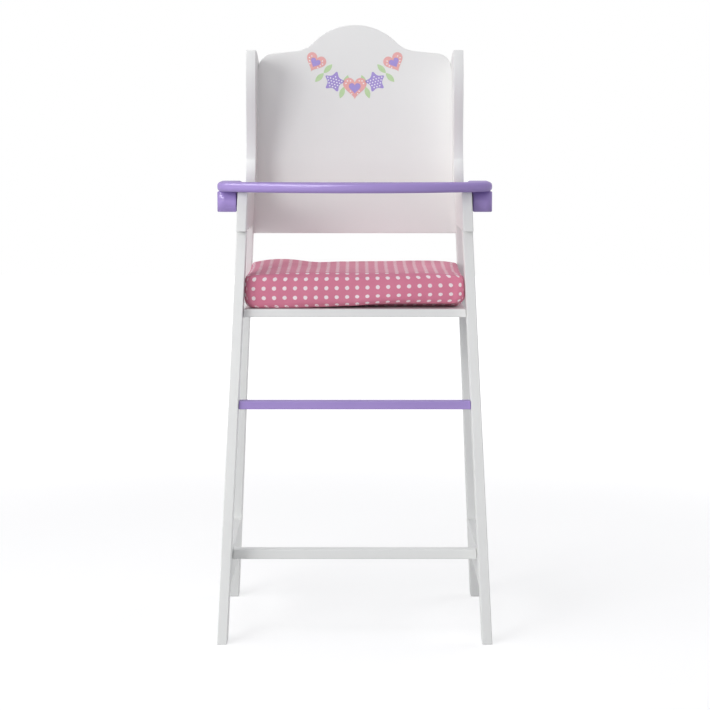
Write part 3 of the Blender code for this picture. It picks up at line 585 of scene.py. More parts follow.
def turned(name, profile, place, facing, finish, sides=48):
    """Sweep a profile of (radius, height, hexagonal) round an axis through a place."""
    to_world = Vector(facing).to_track_quat("Z", "Y").to_matrix()
    shape = bmesh.new()
    rings = []
    for radius, height, hexagonal in profile:
        ring = []
        for i in range(sides if radius else 1):
            angle = 2 * pi * i / sides
            out = radius
            if hexagonal:
                out *= cos(pi / 6) / cos(angle % (pi / 3) - pi / 6)
            spot = Vector((out * cos(angle), out * sin(angle), height))
            ring.append(shape.verts.new(Vector(place) + to_world @ spot))
        rings.append(ring if radius else ring * sides)
    join_rings(shape, rings)
    bmesh.ops.recalc_face_normals(shape, faces=shape.faces)
    for edge in shape.edges:
        edge.smooth = edge.calc_face_angle(0) < SHARP_ANGLE
    return finished_mesh(name, shape, finish)


print("sharp edges over", round(degrees(SHARP_ANGLE)), "degrees")

# %% Pivot hardware
BOLT_RADIUS, BOLT_HEAD_HEIGHT = 2.9 * MM, 3.6 * MM
KEY_RADIUS, KEY_DEPTH, KEY_LIP, KEY_FLARE = 2.3 * MM, 1.9 * MM, 0.15 * MM, 1.1
# The bolt's domed head, as shares of its radius and of its height.
HEAD_DOME = ((0.5, 0.97), (0.7, 0.86), (0.85, 0.64), (0.95, 0.36), (1, 0.1), (1, 0))
WASHER_EDGE, HOLE_ROOM = 0.15 * MM, 0.3 * MM
NUT_HEIGHT, NUT_CHAMFER, NUT_DOME_SHARE = 4.8 * MM, 0.5 * MM, 0.93
NUT_DOME_ANGLES = (0, 0.35, 0.7, 1.05, 1.35)


def middle_of(node):
    """A node's box, its middle, and its width across."""
    low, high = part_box(node)
    return low, high, (low + high) / 2, high.x - low.x


for side, mirror in SIDES:
    low, high, middle, length = middle_of(f"pivot_bolt_{side}")
    head, top = (high.z - low.z) / 2, BOLT_HEAD_HEIGHT
    bolt = [(0, top - KEY_DEPTH, 0), (KEY_RADIUS, top - KEY_DEPTH, 1),
            (KEY_RADIUS, top - KEY_LIP, 1), (KEY_RADIUS * KEY_FLARE, top, 0)]
    bolt += [(head * across, top * up, 0) for across, up in HEAD_DOME]
    bolt += [(BOLT_RADIUS, 0, 0), (BOLT_RADIUS, top - length, 0), (0, top - length, 0)]
    head_x = max(abs(low.x), abs(high.x)) - top

    low, high, _, wide = middle_of(f"pivot_washer_{side}")
    edge, washer_x = (high.z - low.z) / 2, min(abs(low.x), abs(high.x))
    hole = BOLT_RADIUS + HOLE_ROOM
    washer = [(hole, 0, 0), (edge - WASHER_EDGE, 0, 0), (edge, WASHER_EDGE, 0),
              (edge, wide - WASHER_EDGE, 0), (edge - WASHER_EDGE, wide, 0), (hole, wide, 0),
              (hole, 0, 0)]

    low, high, _, deep = middle_of(f"pivot_cap_nut_{side}")
    corner, nut_x = max(high.y - low.y, high.z - low.z) / 2, max(abs(low.x), abs(high.x))
    flat, dome = corner * cos(pi / 6), deep - NUT_HEIGHT
    nut = [(hole, 0, 0), (flat, 0, 0), (corner, NUT_CHAMFER, 1),
           (corner, NUT_HEIGHT - NUT_CHAMFER, 1), (flat, NUT_HEIGHT, 0)]
    nut += [(flat * NUT_DOME_SHARE * cos(a), NUT_HEIGHT + dome * sin(a), 0)
            for a in NUT_DOME_ANGLES] + [(0, deep, 0)]
    for kind, profile, x, facing in (("bolt", bolt, head_x, mirror),
                                     ("washer", washer, washer_x, mirror),
                                     ("cap_nut", nut, nut_x, -mirror)):
        item = turned(f"{kind}_{side}", profile, (mirror * x, middle.y, middle.z),
                      (facing, 0, 0), zinc)
        dressed(item, "chair", "zinc_steel", f"pivot_{kind}_{side}")
    print("bolt head", side, "at x", round(mirror * head_x, 4))

# %% [markdown]
# ## Copies on points
#
# Screws, stitches, motifs and their dots are all one small shape repeated, so two
# Geometry Nodes trees with one shared ending make them. The ending puts a copy on each
# point, aims it one way, turns it a little at random from a fixed seed, makes the
# copies real and gives them their finish. In the first tree each point carries the
# way it faces, how far it is turned about that way and its size. A tree's result is
# read out as a plain mesh, because the export keeps no instances.

# %% Copies tree
def new_tree(name, inputs):
    """A Geometry Nodes tree with named inputs, and these inputs inside it."""
    tree = bpy.data.node_groups.new(name, "GeometryNodeTree")
    for label, kind in inputs.items():
        tree.interface.new_socket(label, in_out="INPUT", socket_type=f"NodeSocket{kind}")
    tree.interface.new_socket("Copies", in_out="OUTPUT", socket_type="NodeSocketGeometry")
    return tree, add_node(tree, "NodeGroupInput").outputs


def lay_copies(tree, given, points, axis, facing, turn=0.0, size=(1, 1, 1)):
    """The shared ending: a copy on every point, with one of its axes turned to face a way."""
    chance = add_node(tree, "FunctionNodeRandomValue",
                      {"data_type": "FLOAT", 2: -1.0, 3: 1.0, "Seed": given["Seed"]})
    angle = add_node(tree, "ShaderNodeMath",
                     {"operation": "MULTIPLY_ADD", 0: chance.outputs[1],
                      1: given["Random turn"], 2: turn})
    spin = add_node(tree, "FunctionNodeAxisAngleToRotation", {"Axis": (0, 0, 1), "Angle": angle})
    aimed = add_node(tree, "FunctionNodeAlignRotationToVector", {"axis": axis, "Vector": facing})
    both = add_node(tree, "FunctionNodeRotateRotation",
                    {"rotation_space": "LOCAL", "Rotation": aimed, "Rotate By": spin})
    pattern = add_node(tree, "GeometryNodeObjectInfo", {"Object": given["Copied piece"]})
    laid = add_node(tree, "GeometryNodeInstanceOnPoints",
                    {"Points": points, "Instance": pattern.outputs["Geometry"],
                     "Rotation": both, "Scale": size})
    real = add_node(tree, "GeometryNodeRealizeInstances", {"Geometry": laid})
    done = add_node(tree, "GeometryNodeSetMaterial",
                    {"Geometry": real, "Material": given["Finish"]})
    add_node(tree, "NodeGroupOutput", {"Copies": done})


def tree_result(name, mesh, tree, values):
    """Run a tree on a mesh of points or lines, and keep what it makes as a plain mesh."""
    carrier = linked(f"{name}_carrier", mesh)
    modifier = carrier.modifiers.new(tree.name, "NODES")
    modifier.node_group = tree
    for label, value in values.items():
        modifier[tree.interface.items_tree[label].identifier] = value
    seen = carrier.evaluated_get(bpy.context.evaluated_depsgraph_get())
    result = bpy.data.meshes.new_from_object(seen)
    result.name = name
    carrier.modifiers.remove(modifier)
    bpy.data.objects.remove(carrier)
    return linked(name, result)


POINT_VALUES = {"facing": "FLOAT_VECTOR", "turn": "FLOAT", "size": "FLOAT_VECTOR"}
COPIES, copies_given = new_tree(
    "copies_on_points", {"Points": "Geometry", "Copied piece": "Object", "Finish": "Material",
                         "Random turn": "Float", "Seed": "Int"})
lay_copies(COPIES, copies_given, copies_given["Points"], "Z", *(
    add_node(COPIES, "GeometryNodeInputNamedAttribute", {"data_type": kind, "Name": label})
    for label, kind in POINT_VALUES.items()))


def copies(name, pattern, finish, points, random_turn=0.0, seed=1):
    """A plain mesh of copies; each point is (place, facing, turn, size)."""
    cloud = bpy.data.meshes.new(name)
    cloud.from_pydata([tuple(point[0]) for point in points], [], [])
    for column, (label, kind) in enumerate(POINT_VALUES.items(), 1):
        layer = cloud.attributes.new(label, kind, "POINT")
        for entry, point in zip(layer.data, points):
            setattr(entry, "value" if kind == "FLOAT" else "vector", point[column])
    return tree_result(name, cloud, COPIES, {"Copied piece": pattern, "Finish": finish,
                                             "Random turn": random_turn, "Seed": seed})


print("copies tree with", len(COPIES.nodes), "nodes")

# %% [markdown]
# ## Screws
#
# Sixteen screws go in level through the sides into the seat, the footrest, the lower
# rail and the back, and four go up through the tray bars. They are countersunk, have
# hexagon sockets and sit just below the paint. One head is turned, and the tree
# repeats it where the CAD screws are, each turned at random as a screwdriver leaves it.

# %% Screw heads
HEAD_RADIUS, HEAD_HEIGHT, HEAD_EDGE = 3.8 * MM, 2.4 * MM, 0.2 * MM
SHANK_RADIUS, SHANK_SHOWN = 1.9 * MM, 6 * MM
SOCKET_RADIUS, SOCKET_DEPTH, SOCKET_LIP, SOCKET_FLARE = 1.6 * MM, 1.6 * MM, 0.12 * MM, 1.12
SCREW_SEED = 11

head_profile = [(0, -SOCKET_DEPTH, 0), (SOCKET_RADIUS, -SOCKET_DEPTH, 1),
                (SOCKET_RADIUS, -SOCKET_LIP, 1), (SOCKET_RADIUS * SOCKET_FLARE, 0, 0),
                (HEAD_RADIUS - HEAD_EDGE, 0, 0), (HEAD_RADIUS, -HEAD_EDGE, 0),
                (SHANK_RADIUS, -HEAD_HEIGHT, 0), (SHANK_RADIUS, -SHANK_SHOWN, 0),
                (0, -SHANK_SHOWN, 0)]
screw_head = turned("screw_head", head_profile, (0, 0, 0), (0, 0, 1), zinc, sides=24)
screws = {"chair": {}, "tray": {}}
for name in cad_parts:
    if "_screw_" in name:
        low, high, middle, _ = middle_of(name)
        if name.startswith("tray"):
            body, place, facing = "tray", (middle.x, middle.y, low.z), (0, 0, -1)
        elif middle.x > 0:
            body, place, facing = "chair", (high.x, middle.y, middle.z), (1, 0, 0)
        else:
            body, place, facing = "chair", (low.x, middle.y, middle.z), (-1, 0, 0)
        screws[body][name] = (place, facing, 0, (1, 1, 1))
for group, body in (("side_screws", "chair"), ("tray_screws", "tray")):
    heads = copies(group, screw_head, zinc, screws[body].values(), pi / 6, SCREW_SEED)
    dressed(heads, body, "zinc_steel", *screws[body])
    print(len(screws[body]), group)
bpy.data.objects.remove(screw_head)

# %% [markdown]
# ## Dowels
#
# Beech pins join the legs, rails, wings and stretchers. They are hidden in their holes,
# but each still gets its wood: pale pinkish brown, with the short dark flecks that
# tell beech from other pale woods. A stretched noise gives the grain and a Voronoi
# pattern, squeezed to about 1.5 by 0.4 mm, gives the flecks.

# %% Beech
GRAIN_WIDTH, GRAIN_SQUEEZE = 0.6 * MM, 0.08
FLECK_SIZE, FLECK_SQUEEZE, FLECK_SHARE = 1.5 * MM, 0.27, 0.16

turned_beech, tree, shader, place = new_finish("turned_beech", {"Roughness": 0.62})
grain_place, fleck_place = (
    add_node(tree, "ShaderNodeMapping", {"Scale": (1, 1, squeeze), "Vector": place})
    for squeeze in (GRAIN_SQUEEZE, FLECK_SQUEEZE))
grain = add_node(tree, "ShaderNodeTexNoise",
                 {"Scale": 1 / GRAIN_WIDTH, "Detail": 3.0, "Vector": grain_place})
fleck = add_node(tree, "ShaderNodeTexVoronoi", {"Scale": 1 / FLECK_SIZE, "Vector": fleck_place})
near = add_node(tree, "ShaderNodeMath", {"operation": "LESS_THAN", 0: fleck, 1: FLECK_SHARE})
wood = add_node(tree, "ShaderNodeMix", {"data_type": "RGBA", 0: grain, 6: linear("#d9b992"),
                                        7: linear("#c8a176")})
colour_and_relief(tree, shader, wood.outputs[2], linear("#a87f58"), near, 0.2, 0.05 * MM, grain)
dowels = [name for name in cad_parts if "_dowel_" in name]
finish_nodes(dowels, turned_beech)
print(len(dowels), "dowels in", turned_beech.name)

# %% [markdown]
# ## Seat cushion: the cut shape
#
# The cushion is a loose slab of wadding in a box cover, a little wider at its corners
# than in between, with a flat base on the seat. It starts as a closed grid: a base, a
# top and bands of cells up the sides. Each cell of the cover also gets its place on
# the cloth, in metres, by unrolling: across is the distance from the middle, and along
# is the distance from the foot of the front, over the edge and on to the back. The
# printed dots read that map, so they follow the cloth over the edge without a seam.

# %% Cushion grid
COLUMNS, ROWS, BANDS = 60, 44, 12
FRONT_HEIGHT, BACK_HEIGHT = 38 * MM, 43.6 * MM
CROWN, CROWN_ACROSS, CROWN_ALONG = 1.5 * MM, 12, 8
ROUND_TOP, ROUND_BASE, PLAN_CORNER = 5 * MM, 8 * MM, 11 * MM
DRAW_SHARE, SQUARE_OUT, SQUARE_UP = 0.012, 0.7, 0.8
START_SMALLER = 0.5 * MM

cushion_low, cushion_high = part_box("seat_cushion")
cushion_mid = (cushion_low + cushion_high) / 2
half_x, half_y = cushion_high.x, (cushion_high.y - cushion_low.y) / 2


def grid_share(i, count):
    """Grid lines closer together near the edges, where the cover curves."""
    plain = 2 * i / count - 1
    return (sin(plain * pi / 2) + plain) / 2


def cover_point(cell, k):
    """Point of the cover at a cell's corner, on ring k from 0, the base, to BANDS, the top."""
    u, v, rise = grid_share(cell[0], COLUMNS), grid_share(cell[1], ROWS), 2 * k / BANDS - 1
    turn = rise * pi / 2
    rounding = ROUND_TOP if rise > 0 else ROUND_BASE
    swell = rounding * max(cos(turn), 0) ** SQUARE_OUT - rounding - START_SMALLER
    edge_height = FRONT_HEIGHT + (BACK_HEIGHT - FRONT_HEIGHT) * (1 + v) / 2
    up = 1 + copysign(abs(sin(turn)) ** SQUARE_UP, rise)
    z = cushion_low.z + edge_height / 2 * up
    ring_x = half_x * (1 - DRAW_SHARE * (1 - v * v)) + swell
    ring_y = half_y * (1 - DRAW_SHARE * (1 - u * u)) + swell
    x, y = ring_x * u, ring_y * v
    over_x, over_y = abs(x) - (ring_x - PLAN_CORNER), abs(y) - (ring_y - PLAN_CORNER)
    if over_x > 0 and over_y > 0:
        fit = max(over_x, over_y) / hypot(over_x, over_y)
        x = copysign(ring_x - PLAN_CORNER + over_x * fit, x)
        y = copysign(ring_y - PLAN_CORNER + over_y * fit, y)
    if rise == 1:
        z += (CROWN - START_SMALLER) * (1 - abs(u) ** CROWN_ACROSS) * (1 - abs(v) ** CROWN_ALONG)
    return Vector((x, y + cushion_mid.y, z))


# Length of cloth up one side, from the base's edge to each ring of points.
lengths, front_cell = [0.0], (COLUMNS // 2, 0)
for k in range(BANDS):
    step = cover_point(front_cell, k + 1) - cover_point(front_cell, k)
    lengths.append(lengths[-1] + step.length)
BAND_CLOTH = lengths[-1]
FRONT_EDGE = FRONT_HEIGHT / 2 - lengths[BANDS // 2] + BAND_CLOTH


def on_cloth(cell):
    """A cell corner's place on the cloth of the top, across and along it."""
    return (half_x * grid_share(cell[0], COLUMNS),
            FRONT_EDGE + half_y * (1 + grid_share(cell[1], ROWS)))


cover_rim = [(i, 0) for i in range(COLUMNS)] + [(COLUMNS, j) for j in range(ROWS)]
cover_rim += [(COLUMNS - i, ROWS) for i in range(COLUMNS)] + [(0, ROWS - j) for j in range(ROWS)]
cells = [(i, j) for i in range(COLUMNS + 1) for j in range(ROWS + 1)]
# The number of each cell corner's point, for every ring of the side.
cover_levels, points, faces, cloth_map = {}, [], [], []
for k, ring in [(0, cells), (BANDS, cells)] + [(k, cover_rim) for k in range(1, BANDS)]:
    cover_levels[k] = {cell: len(points) + n for n, cell in enumerate(ring)}
    points += [cover_point(cell, k) for cell in ring]
for i in range(COLUMNS):
    for j in range(ROWS):
        square = [(i, j), (i + 1, j), (i + 1, j + 1), (i, j + 1)]
        for k, order, sign in ((BANDS, square, 1), (0, square[::-1], -1)):
            faces.append([cover_levels[k][cell] for cell in order])
            cloth_map.append([(x, sign * y) for x, y in map(on_cloth, order)])
for k in range(BANDS):
    for cell, after in zip(cover_rim, cover_rim[1:] + cover_rim[:1]):
        side_face = [(cell, k), (after, k), (after, k + 1), (cell, k + 1)]
        faces.append([cover_levels[ring][corner] for corner, ring in side_face])
        spots = []
        for corner, ring in side_face:
            (across, along), drop = on_cloth(corner), BAND_CLOTH - lengths[ring]
            if cell[1] == after[1]:
                along += drop if cell[1] else -drop
            else:
                across += copysign(drop, across)
            spots.append((across, along))
        cloth_map.append(spots)

cover_mesh = bpy.data.meshes.new("cushion_cover")
cover_mesh.from_pydata(points, [], faces)
cloth_layer = cover_mesh.uv_layers.new(name="cloth")
for loop, spot in enumerate(spot for spots in cloth_map for spot in spots):
    cloth_layer.data[loop].uv = spot
cover = linked("cushion_cover", cover_mesh)
print("cover", len(cover_mesh.vertices), "points, band", round(BAND_CLOTH / MM, 1), "mm of cloth")

# %% [markdown]
# ## Seat cushion: filled and used
#
# Blender's Cloth fills the cover: pressure pushes it out from inside and the base is
# held flat on the seat. The cloth is set a little longer than the cut shape, so it
# puckers a little as real cotton does, and no point may move more than about two
# millimetres. Then a hand has pressed it, as in the photograph: higher at the back on
# the left, with a dip beside it, and the foot of the front lifts towards the right.
# Last, everything is kept inside the room between the legs.

# %% Cushion filling
# A shrink below zero makes the cloth longer. The base's points are pinned.
CLOTH = {"quality": 6, "mass": 0.2, "use_pressure": True, "uniform_pressure_force": 3.0,
         "tension_stiffness": 90, "compression_stiffness": 90, "shear_stiffness": 30,
         "bending_stiffness": 1.0, "shrink_min": -0.006, "vertex_group_mass": "held_base"}
FRAMES = 20
MOST_MOVED = 2.2 * MM

base_group = cover.vertex_groups.new(name="held_base")
base_group.add(list(cover_levels[0].values()), 1.0, "REPLACE")
cloth = cover.modifiers.new("filling", "CLOTH")
for setting, value in CLOTH.items():
    setattr(cloth.settings, setting, value)
cloth.settings.effector_weights.gravity = 0.0
cloth.collision_settings.use_collision = False
cloth.point_cache.frame_start, cloth.point_cache.frame_end = 1, FRAMES
for step in range(1, FRAMES + 1):
    bpy.context.scene.frame_set(step)
seen = cover.evaluated_get(bpy.context.evaluated_depsgraph_get())
filled = bpy.data.meshes.new_from_object(seen)
moves = [after.co - start.co for after, start in zip(filled.vertices, cover_mesh.vertices)]
cover.modifiers.remove(cloth)
bpy.context.scene.frame_set(1)
for vertex, move in zip(cover_mesh.vertices, moves):
    vertex.co += move.normalized() * MOST_MOVED * tanh(move.length / MOST_MOVED)
print("cloth wants to move", round(max(move.length for move in moves) / MM, 1), "mm")

# %% Cushion pressed by a hand
# Each hump's place across, its half width and its height; the second one is a dip.
HUMPS = ((-88 * MM, 30 * MM, 2.6 * MM), (-46 * MM, 24 * MM, -2.0 * MM))
HUMPS_BACK = 20 * MM
RIPPLE, RIPPLE_ACROSS, RIPPLE_ALONG, RIPPLE_SHIFT = 0.5 * MM, 19 * MM, 23 * MM, 1.0
PRESSED_FROM = 0.45
FOOT_LIFT, LIFT_UP = 5 * MM, 18 * MM
LIFT_ACROSS, LIFT_BACK = (-80 * MM, 60 * MM), (16 * MM, 40 * MM)
SIDE_ROOM, FRONT_ROOM = 0.1 * MM, 1.5 * MM
WIDENED = 1.02


def smooth_step(low, high, value):
    """0 below low, 1 above high and a soft S between them."""
    share = min(max((value - low) / (high - low), 0), 1)
    return share * share * (3 - 2 * share)


def pressed_height(x, y):
    """How far the top is raised or pressed down at a place, as a hand has left it."""
    back = smooth_step(cushion_low.y + HUMPS_BACK, cushion_mid.y + HUMPS_BACK, y)
    humps = sum(rise * exp(-((x - middle) / width) ** 2) for middle, width, rise in HUMPS)
    ripple = RIPPLE * sin(x / RIPPLE_ACROSS + RIPPLE_SHIFT) * sin(y / RIPPLE_ALONG)
    return humps * back + ripple


for vertex in cover_mesh.vertices:
    x, y, z = vertex.co
    up = z - cushion_low.z
    pressed = smooth_step(FRONT_HEIGHT * PRESSED_FROM, FRONT_HEIGHT, up)
    vertex.co.z += pressed_height(x, y) * pressed
    front, low = 1 - smooth_step(*LIFT_BACK, y - cushion_low.y), 1 - smooth_step(0, LIFT_UP, up)
    vertex.co.z += FOOT_LIFT * smooth_step(*LIFT_ACROSS, x) * front * low
    limit = rail_inside(vertex.co.z) - SIDE_ROOM
    vertex.co.x = min(max(vertex.co.x * WIDENED, -limit), limit)
    vertex.co.y = min(max(vertex.co.y, cushion_low.y - FRONT_ROOM), cushion_high.y)
    vertex.co.z = max(vertex.co.z, cushion_low.z)
print("cushion top", round(max(vertex.co.z for vertex in cover_mesh.vertices), 4))

# %% [markdown]
# ## Printed cotton
#
# The cover is plain-woven cotton, dyed pink and printed with white dots: 4.8 mm wide,
# 12 mm apart across and 11 mm along, and cut a little off the thread, so the rows
# climb to the right. The dots come from the cloth map: each place is measured from the
# nearest dot's middle, after a small noise has made the edges as uneven as print. The
# weave is two sine waves, one for each way the threads run. Real threads here are about
# 0.35 mm apart, and they are drawn at 0.6 mm so that they show. Cotton scatters light
# at its edges, which is the sheen.

# %% Printed cotton
DOT_ACROSS, DOT_ALONG = 11.96 * MM, 11.05 * MM
DOT_START = (-116.7 * MM, 11.6 * MM, 0)
DOT_SLOPE = 0.0195
DOT_RADIUS, DOT_BLUR = 2.4 * MM, 0.25 * MM
WANDER = 0.9 * MM
THREAD = 0.6 * MM
DOT_RELIEF, SLUB_RELIEF = 1.5, 2.0

cotton, tree, shader, place = new_finish(
    "printed_pink_cotton", {"Roughness": 0.85, "Specular IOR Level": 0.25,
                            "Sheen Weight": 0.12, "Sheen Roughness": 0.5})
cloth_place = add_node(tree, "ShaderNodeUVMap", {"uv_map": "cloth"}).outputs["UV"]
# Noise that makes the dots' edges wander, fades the dye and thickens threads.
wander, fade, slub = (
    add_node(tree, "ShaderNodeTexNoise", {"Scale": 1 / grain, "Detail": detail, "Vector": place})
    for grain, detail in ((2.5 * MM, 2.0), (30 * MM, 5.0), (1.4 * MM, 3.0)))

# The noise is a half on average, so half the wander comes off with the start.
uneven = add_node(tree, "ShaderNodeVectorMath",
                  {"operation": "MULTIPLY_ADD", 0: wander.outputs["Color"],
                   1: (WANDER, WANDER, WANDER), 2: cloth_place})
from_start = add_node(tree, "ShaderNodeVectorMath",
                      {"operation": "SUBTRACT", 0: uneven,
                       1: [start + WANDER / 2 for start in DOT_START]})
to_right, upwards = (
    add_node(tree, "ShaderNodeVectorMath", {"operation": "DOT_PRODUCT", 0: from_start, 1: way})
    for way in ((1, 0, 0), (-DOT_SLOPE, 1, 0)))
on_rows = add_node(tree, "ShaderNodeCombineXYZ",
                   {"X": to_right.outputs["Value"], "Y": upwards.outputs["Value"]})
half_pitch = Vector((DOT_ACROSS, DOT_ALONG, 0)) / 2
from_dot = add_node(tree, "ShaderNodeVectorMath",
                    {"operation": "WRAP", 0: on_rows, 1: half_pitch, 2: -half_pitch})
off = add_node(tree, "ShaderNodeVectorMath", {"operation": "LENGTH", 0: from_dot})
dot = add_node(tree, "ShaderNodeMapRange",
               {"interpolation_type": "SMOOTHSTEP", "From Min": DOT_RADIUS + DOT_BLUR,
                "From Max": DOT_RADIUS - DOT_BLUR, "Value": off.outputs["Value"]})
dyed = add_node(tree, "ShaderNodeMix", {"data_type": "RGBA", 0: fade, 6: linear("#de869f"),
                                        7: linear("#d27792")})

ways = add_node(tree, "ShaderNodeVectorMath",
                {"operation": "SCALE", 0: cloth_place, "Scale": 2 * pi / THREAD})
waves = add_node(tree, "ShaderNodeVectorMath", {"operation": "SINE", 0: ways})
warp, weft, _ = add_node(tree, "ShaderNodeSeparateXYZ", {0: waves}).outputs
weave = add_node(tree, "ShaderNodeMath", {"operation": "MULTIPLY", 0: warp, 1: weft})
for part, relief in ((dot, DOT_RELIEF), (slub, SLUB_RELIEF)):
    weave = add_node(tree, "ShaderNodeMath",
                     {"operation": "MULTIPLY_ADD", 0: part, 1: relief, 2: weave})
colour_and_relief(tree, shader, dyed.outputs[2], linear("#f4e6e9"), dot, 0.5, 0.06 * MM, weave)

cover_mesh.materials.append(cotton)
cover_mesh.shade_smooth()
softened = cover.modifiers.new("softened", "SUBSURF")
softened.levels = softened.render_levels = 1
dressed(cover, "chair", "pink_cotton", "seat_cushion")
print("cushion finish", cotton.name)

# %% [markdown]
# ## Stitches
#
# The base of the cover is sewn on all round, a few millimetres above the seat, and the
# opening in the back is sewn shut after filling. Each seam pulls the cloth in, so the
# ring of points there moves inwards a little. A second tree lays the stitches: it
# resamples the seam's line at the stitch length and lays a small thread capsule on
# each point along the line, with a slight stray in direction from a fixed seed. The
# thread is twisted polyester: a soft sheen, with the twist as fine slanting bands of
# relief, and painted shade makes the grooves between them a darker pink.

# %% Stitches
STITCH_PITCH, STITCH_LENGTH, THREAD_RADIUS = 3.2 * MM, 2.3 * MM, 0.28 * MM
STITCH_STRAY, STITCH_SEED = 0.12, 5
# One stitch, as shares of the thread's radius and of the stitch's length.
STITCH_SHAPE = ((0, -0.5), (0.7, -0.42), (1, -0.25), (1, 0.25), (0.7, 0.42), (0, 0.5))
TWIST = 3 * MM
SEAM_PULL, THREAD_OUT = 0.9 * MM, 0.6 * THREAD_RADIUS
SEAM_BAND, CLOSING_BAND, CLOSING_MARGIN = 2, 6, 12

SEAMS, seams_given = new_tree(
    "stitches_along_seam", {"Seam": "Geometry", "Copied piece": "Object", "Finish": "Material",
                            "Pitch": "Float", "Random turn": "Float", "Seed": "Int"})
seam_curve = add_node(SEAMS, "GeometryNodeMeshToCurve", {"Mesh": seams_given["Seam"]})
even = add_node(SEAMS, "GeometryNodeResampleCurve",
                {"mode": "LENGTH", "Curve": seam_curve, "Length": seams_given["Pitch"]})
lay_copies(SEAMS, seams_given, even, "X", add_node(SEAMS, "GeometryNodeInputTangent"))

thread, tree, shader, place = new_finish("twisted_thread", {"Roughness": 0.5})
twist = add_node(tree, "ShaderNodeTexWave",
                 {"Scale": 1 / TWIST, "Distortion": 1.0, "Vector": place}).outputs["Fac"]
# Painted shade: where the twist's relief is low, in its grooves, the thread gets the darker pink.
colour_and_relief(tree, shader, linear("#c76683"), linear("#dc8aa2"), twist, 0.3, 0.05 * MM, twist)
stitch_profile = [(r * THREAD_RADIUS, h * STITCH_LENGTH, 0) for r, h in STITCH_SHAPE]
one_stitch = turned("one_stitch", stitch_profile, (0, 0, 0), (1, 0, 0), thread, sides=8)


def seam_line(name, ring, closed):
    """Pull a line of the cover's points inwards; a mesh of edges just outside the cloth."""
    places = []
    for number in ring:
        vertex = cover_mesh.vertices[number]
        inward = (Vector((cushion_mid.x, cushion_mid.y, vertex.co.z)) - vertex.co).normalized()
        vertex.co += inward * SEAM_PULL
        places.append(vertex.co - inward * THREAD_OUT)
    count = len(places)
    line = bpy.data.meshes.new(name)
    edges = [(i, (i + 1) % count) for i in range(count if closed else count - 1)]
    line.from_pydata(places, edges, [])
    return line


closing_cells = [(i, ROWS) for i in range(CLOSING_MARGIN, COLUMNS + 1 - CLOSING_MARGIN)]
for name, band, cells, closed in (("base_seam", SEAM_BAND, cover_rim, True),
                                  ("closing_seam", CLOSING_BAND, closing_cells, False)):
    line = seam_line(name, [cover_levels[band][cell] for cell in cells], closed)
    stitches = tree_result(name, line, SEAMS,
                           {"Copied piece": one_stitch, "Finish": thread, "Pitch": STITCH_PITCH,
                            "Random turn": STITCH_STRAY, "Seed": STITCH_SEED})
    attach(stitches, "chair")
    print(name, len(stitches.data.polygons), "faces")
bpy.data.objects.remove(one_stitch)

# %% [markdown]
# ## Printed garland
#
# The front of the back panel carries a screen print in coral, lavender and leaf green.
# Here it is a plain garland of hearts, stars and leaves on a shallow arc, with white
# dots on the larger shapes. Screen ink is a thin, matt, slightly uneven film, so each
# motif is a flat outline a hair in front of the lacquer. The copies tree sets the
# motifs along the arc, and sets the dots where a grid of points falls inside one.

# %% Print inks
INKS = {"coral": ("#eab4b0", "#e3a19f"), "lavender": ("#aa9bd8", "#9c8bcf"),
        "leaf_green": ("#c3dcae", "#b2d19c"), "white": ("#f4f1f2", "#edeaec")}
coral_ink, lavender_ink, leaf_ink, white_ink = (
    clouded_finish(f"{name}_screen_ink", *pale_and_deep, 3 * MM, 5.0, (0.1, 0.02 * MM),
                   {"Roughness": 0.55, "Specular IOR Level": 0.3})
    for name, pale_and_deep in INKS.items())
print("inks", coral_ink.name, lavender_ink.name, leaf_ink.name, white_ink.name)

# %% Motifs
# The heart is a sum of cosine waves; the star goes between two radii.
HEART_WAVES, HEART_LIFT, HEART_SPAN = (13, -5, -2, -1), 2.5, 32
STAR_RADII, CORNER_CUT = (0.525, 0.27), 0.2
LEAF_HALF_WIDTH, LEAF_FULLNESS = 0.21, 0.85
HEART_STEPS, STAR_CORNERS, LEAF_STEPS, DOT_SIDES = 48, 10, 16, 14


def full_turn(steps):
    """Angles all the way round, the first one not repeated."""
    return [2 * pi * i / steps for i in range(steps)]


def star_outline():
    """A five-pointed star one unit wide, its points rounded by cutting corners twice."""
    points = []
    for i, angle in enumerate(full_turn(STAR_CORNERS)):
        radius = STAR_RADII[i % 2]
        points.append(Vector((-radius * sin(angle), radius * cos(angle))))
    for _ in range(2):
        points = [a.lerp(b, share) for a, b in zip(points, points[1:] + points[:1])
                  for share in (CORNER_CUT, 1 - CORNER_CUT)]
    return [tuple(point) for point in points]


def flat_motif(name, outline):
    """A flat shape in its own plane, facing up."""
    mesh = bpy.data.meshes.new(name)
    mesh.from_pydata([(x, y, 0) for x, y in outline], [], [tuple(range(len(outline)))])
    if mesh.polygons[0].normal.z < 0:
        mesh.flip_normals()
    return linked(name, mesh)


def inside(outline, x, y):
    """Whether a point lies inside a closed outline."""
    found = False
    for (x0, y0), (x1, y1) in zip(outline, outline[1:] + outline[:1]):
        if (y0 > y) != (y1 > y) and x < x0 + (x1 - x0) * (y - y0) / (y1 - y0):
            found = not found
    return found


def heart_height(t):
    """Height of the heart's outline at an angle."""
    waves = sum(wave * cos(n * t) for n, wave in enumerate(HEART_WAVES, 1))
    return (waves + HEART_LIFT) / HEART_SPAN


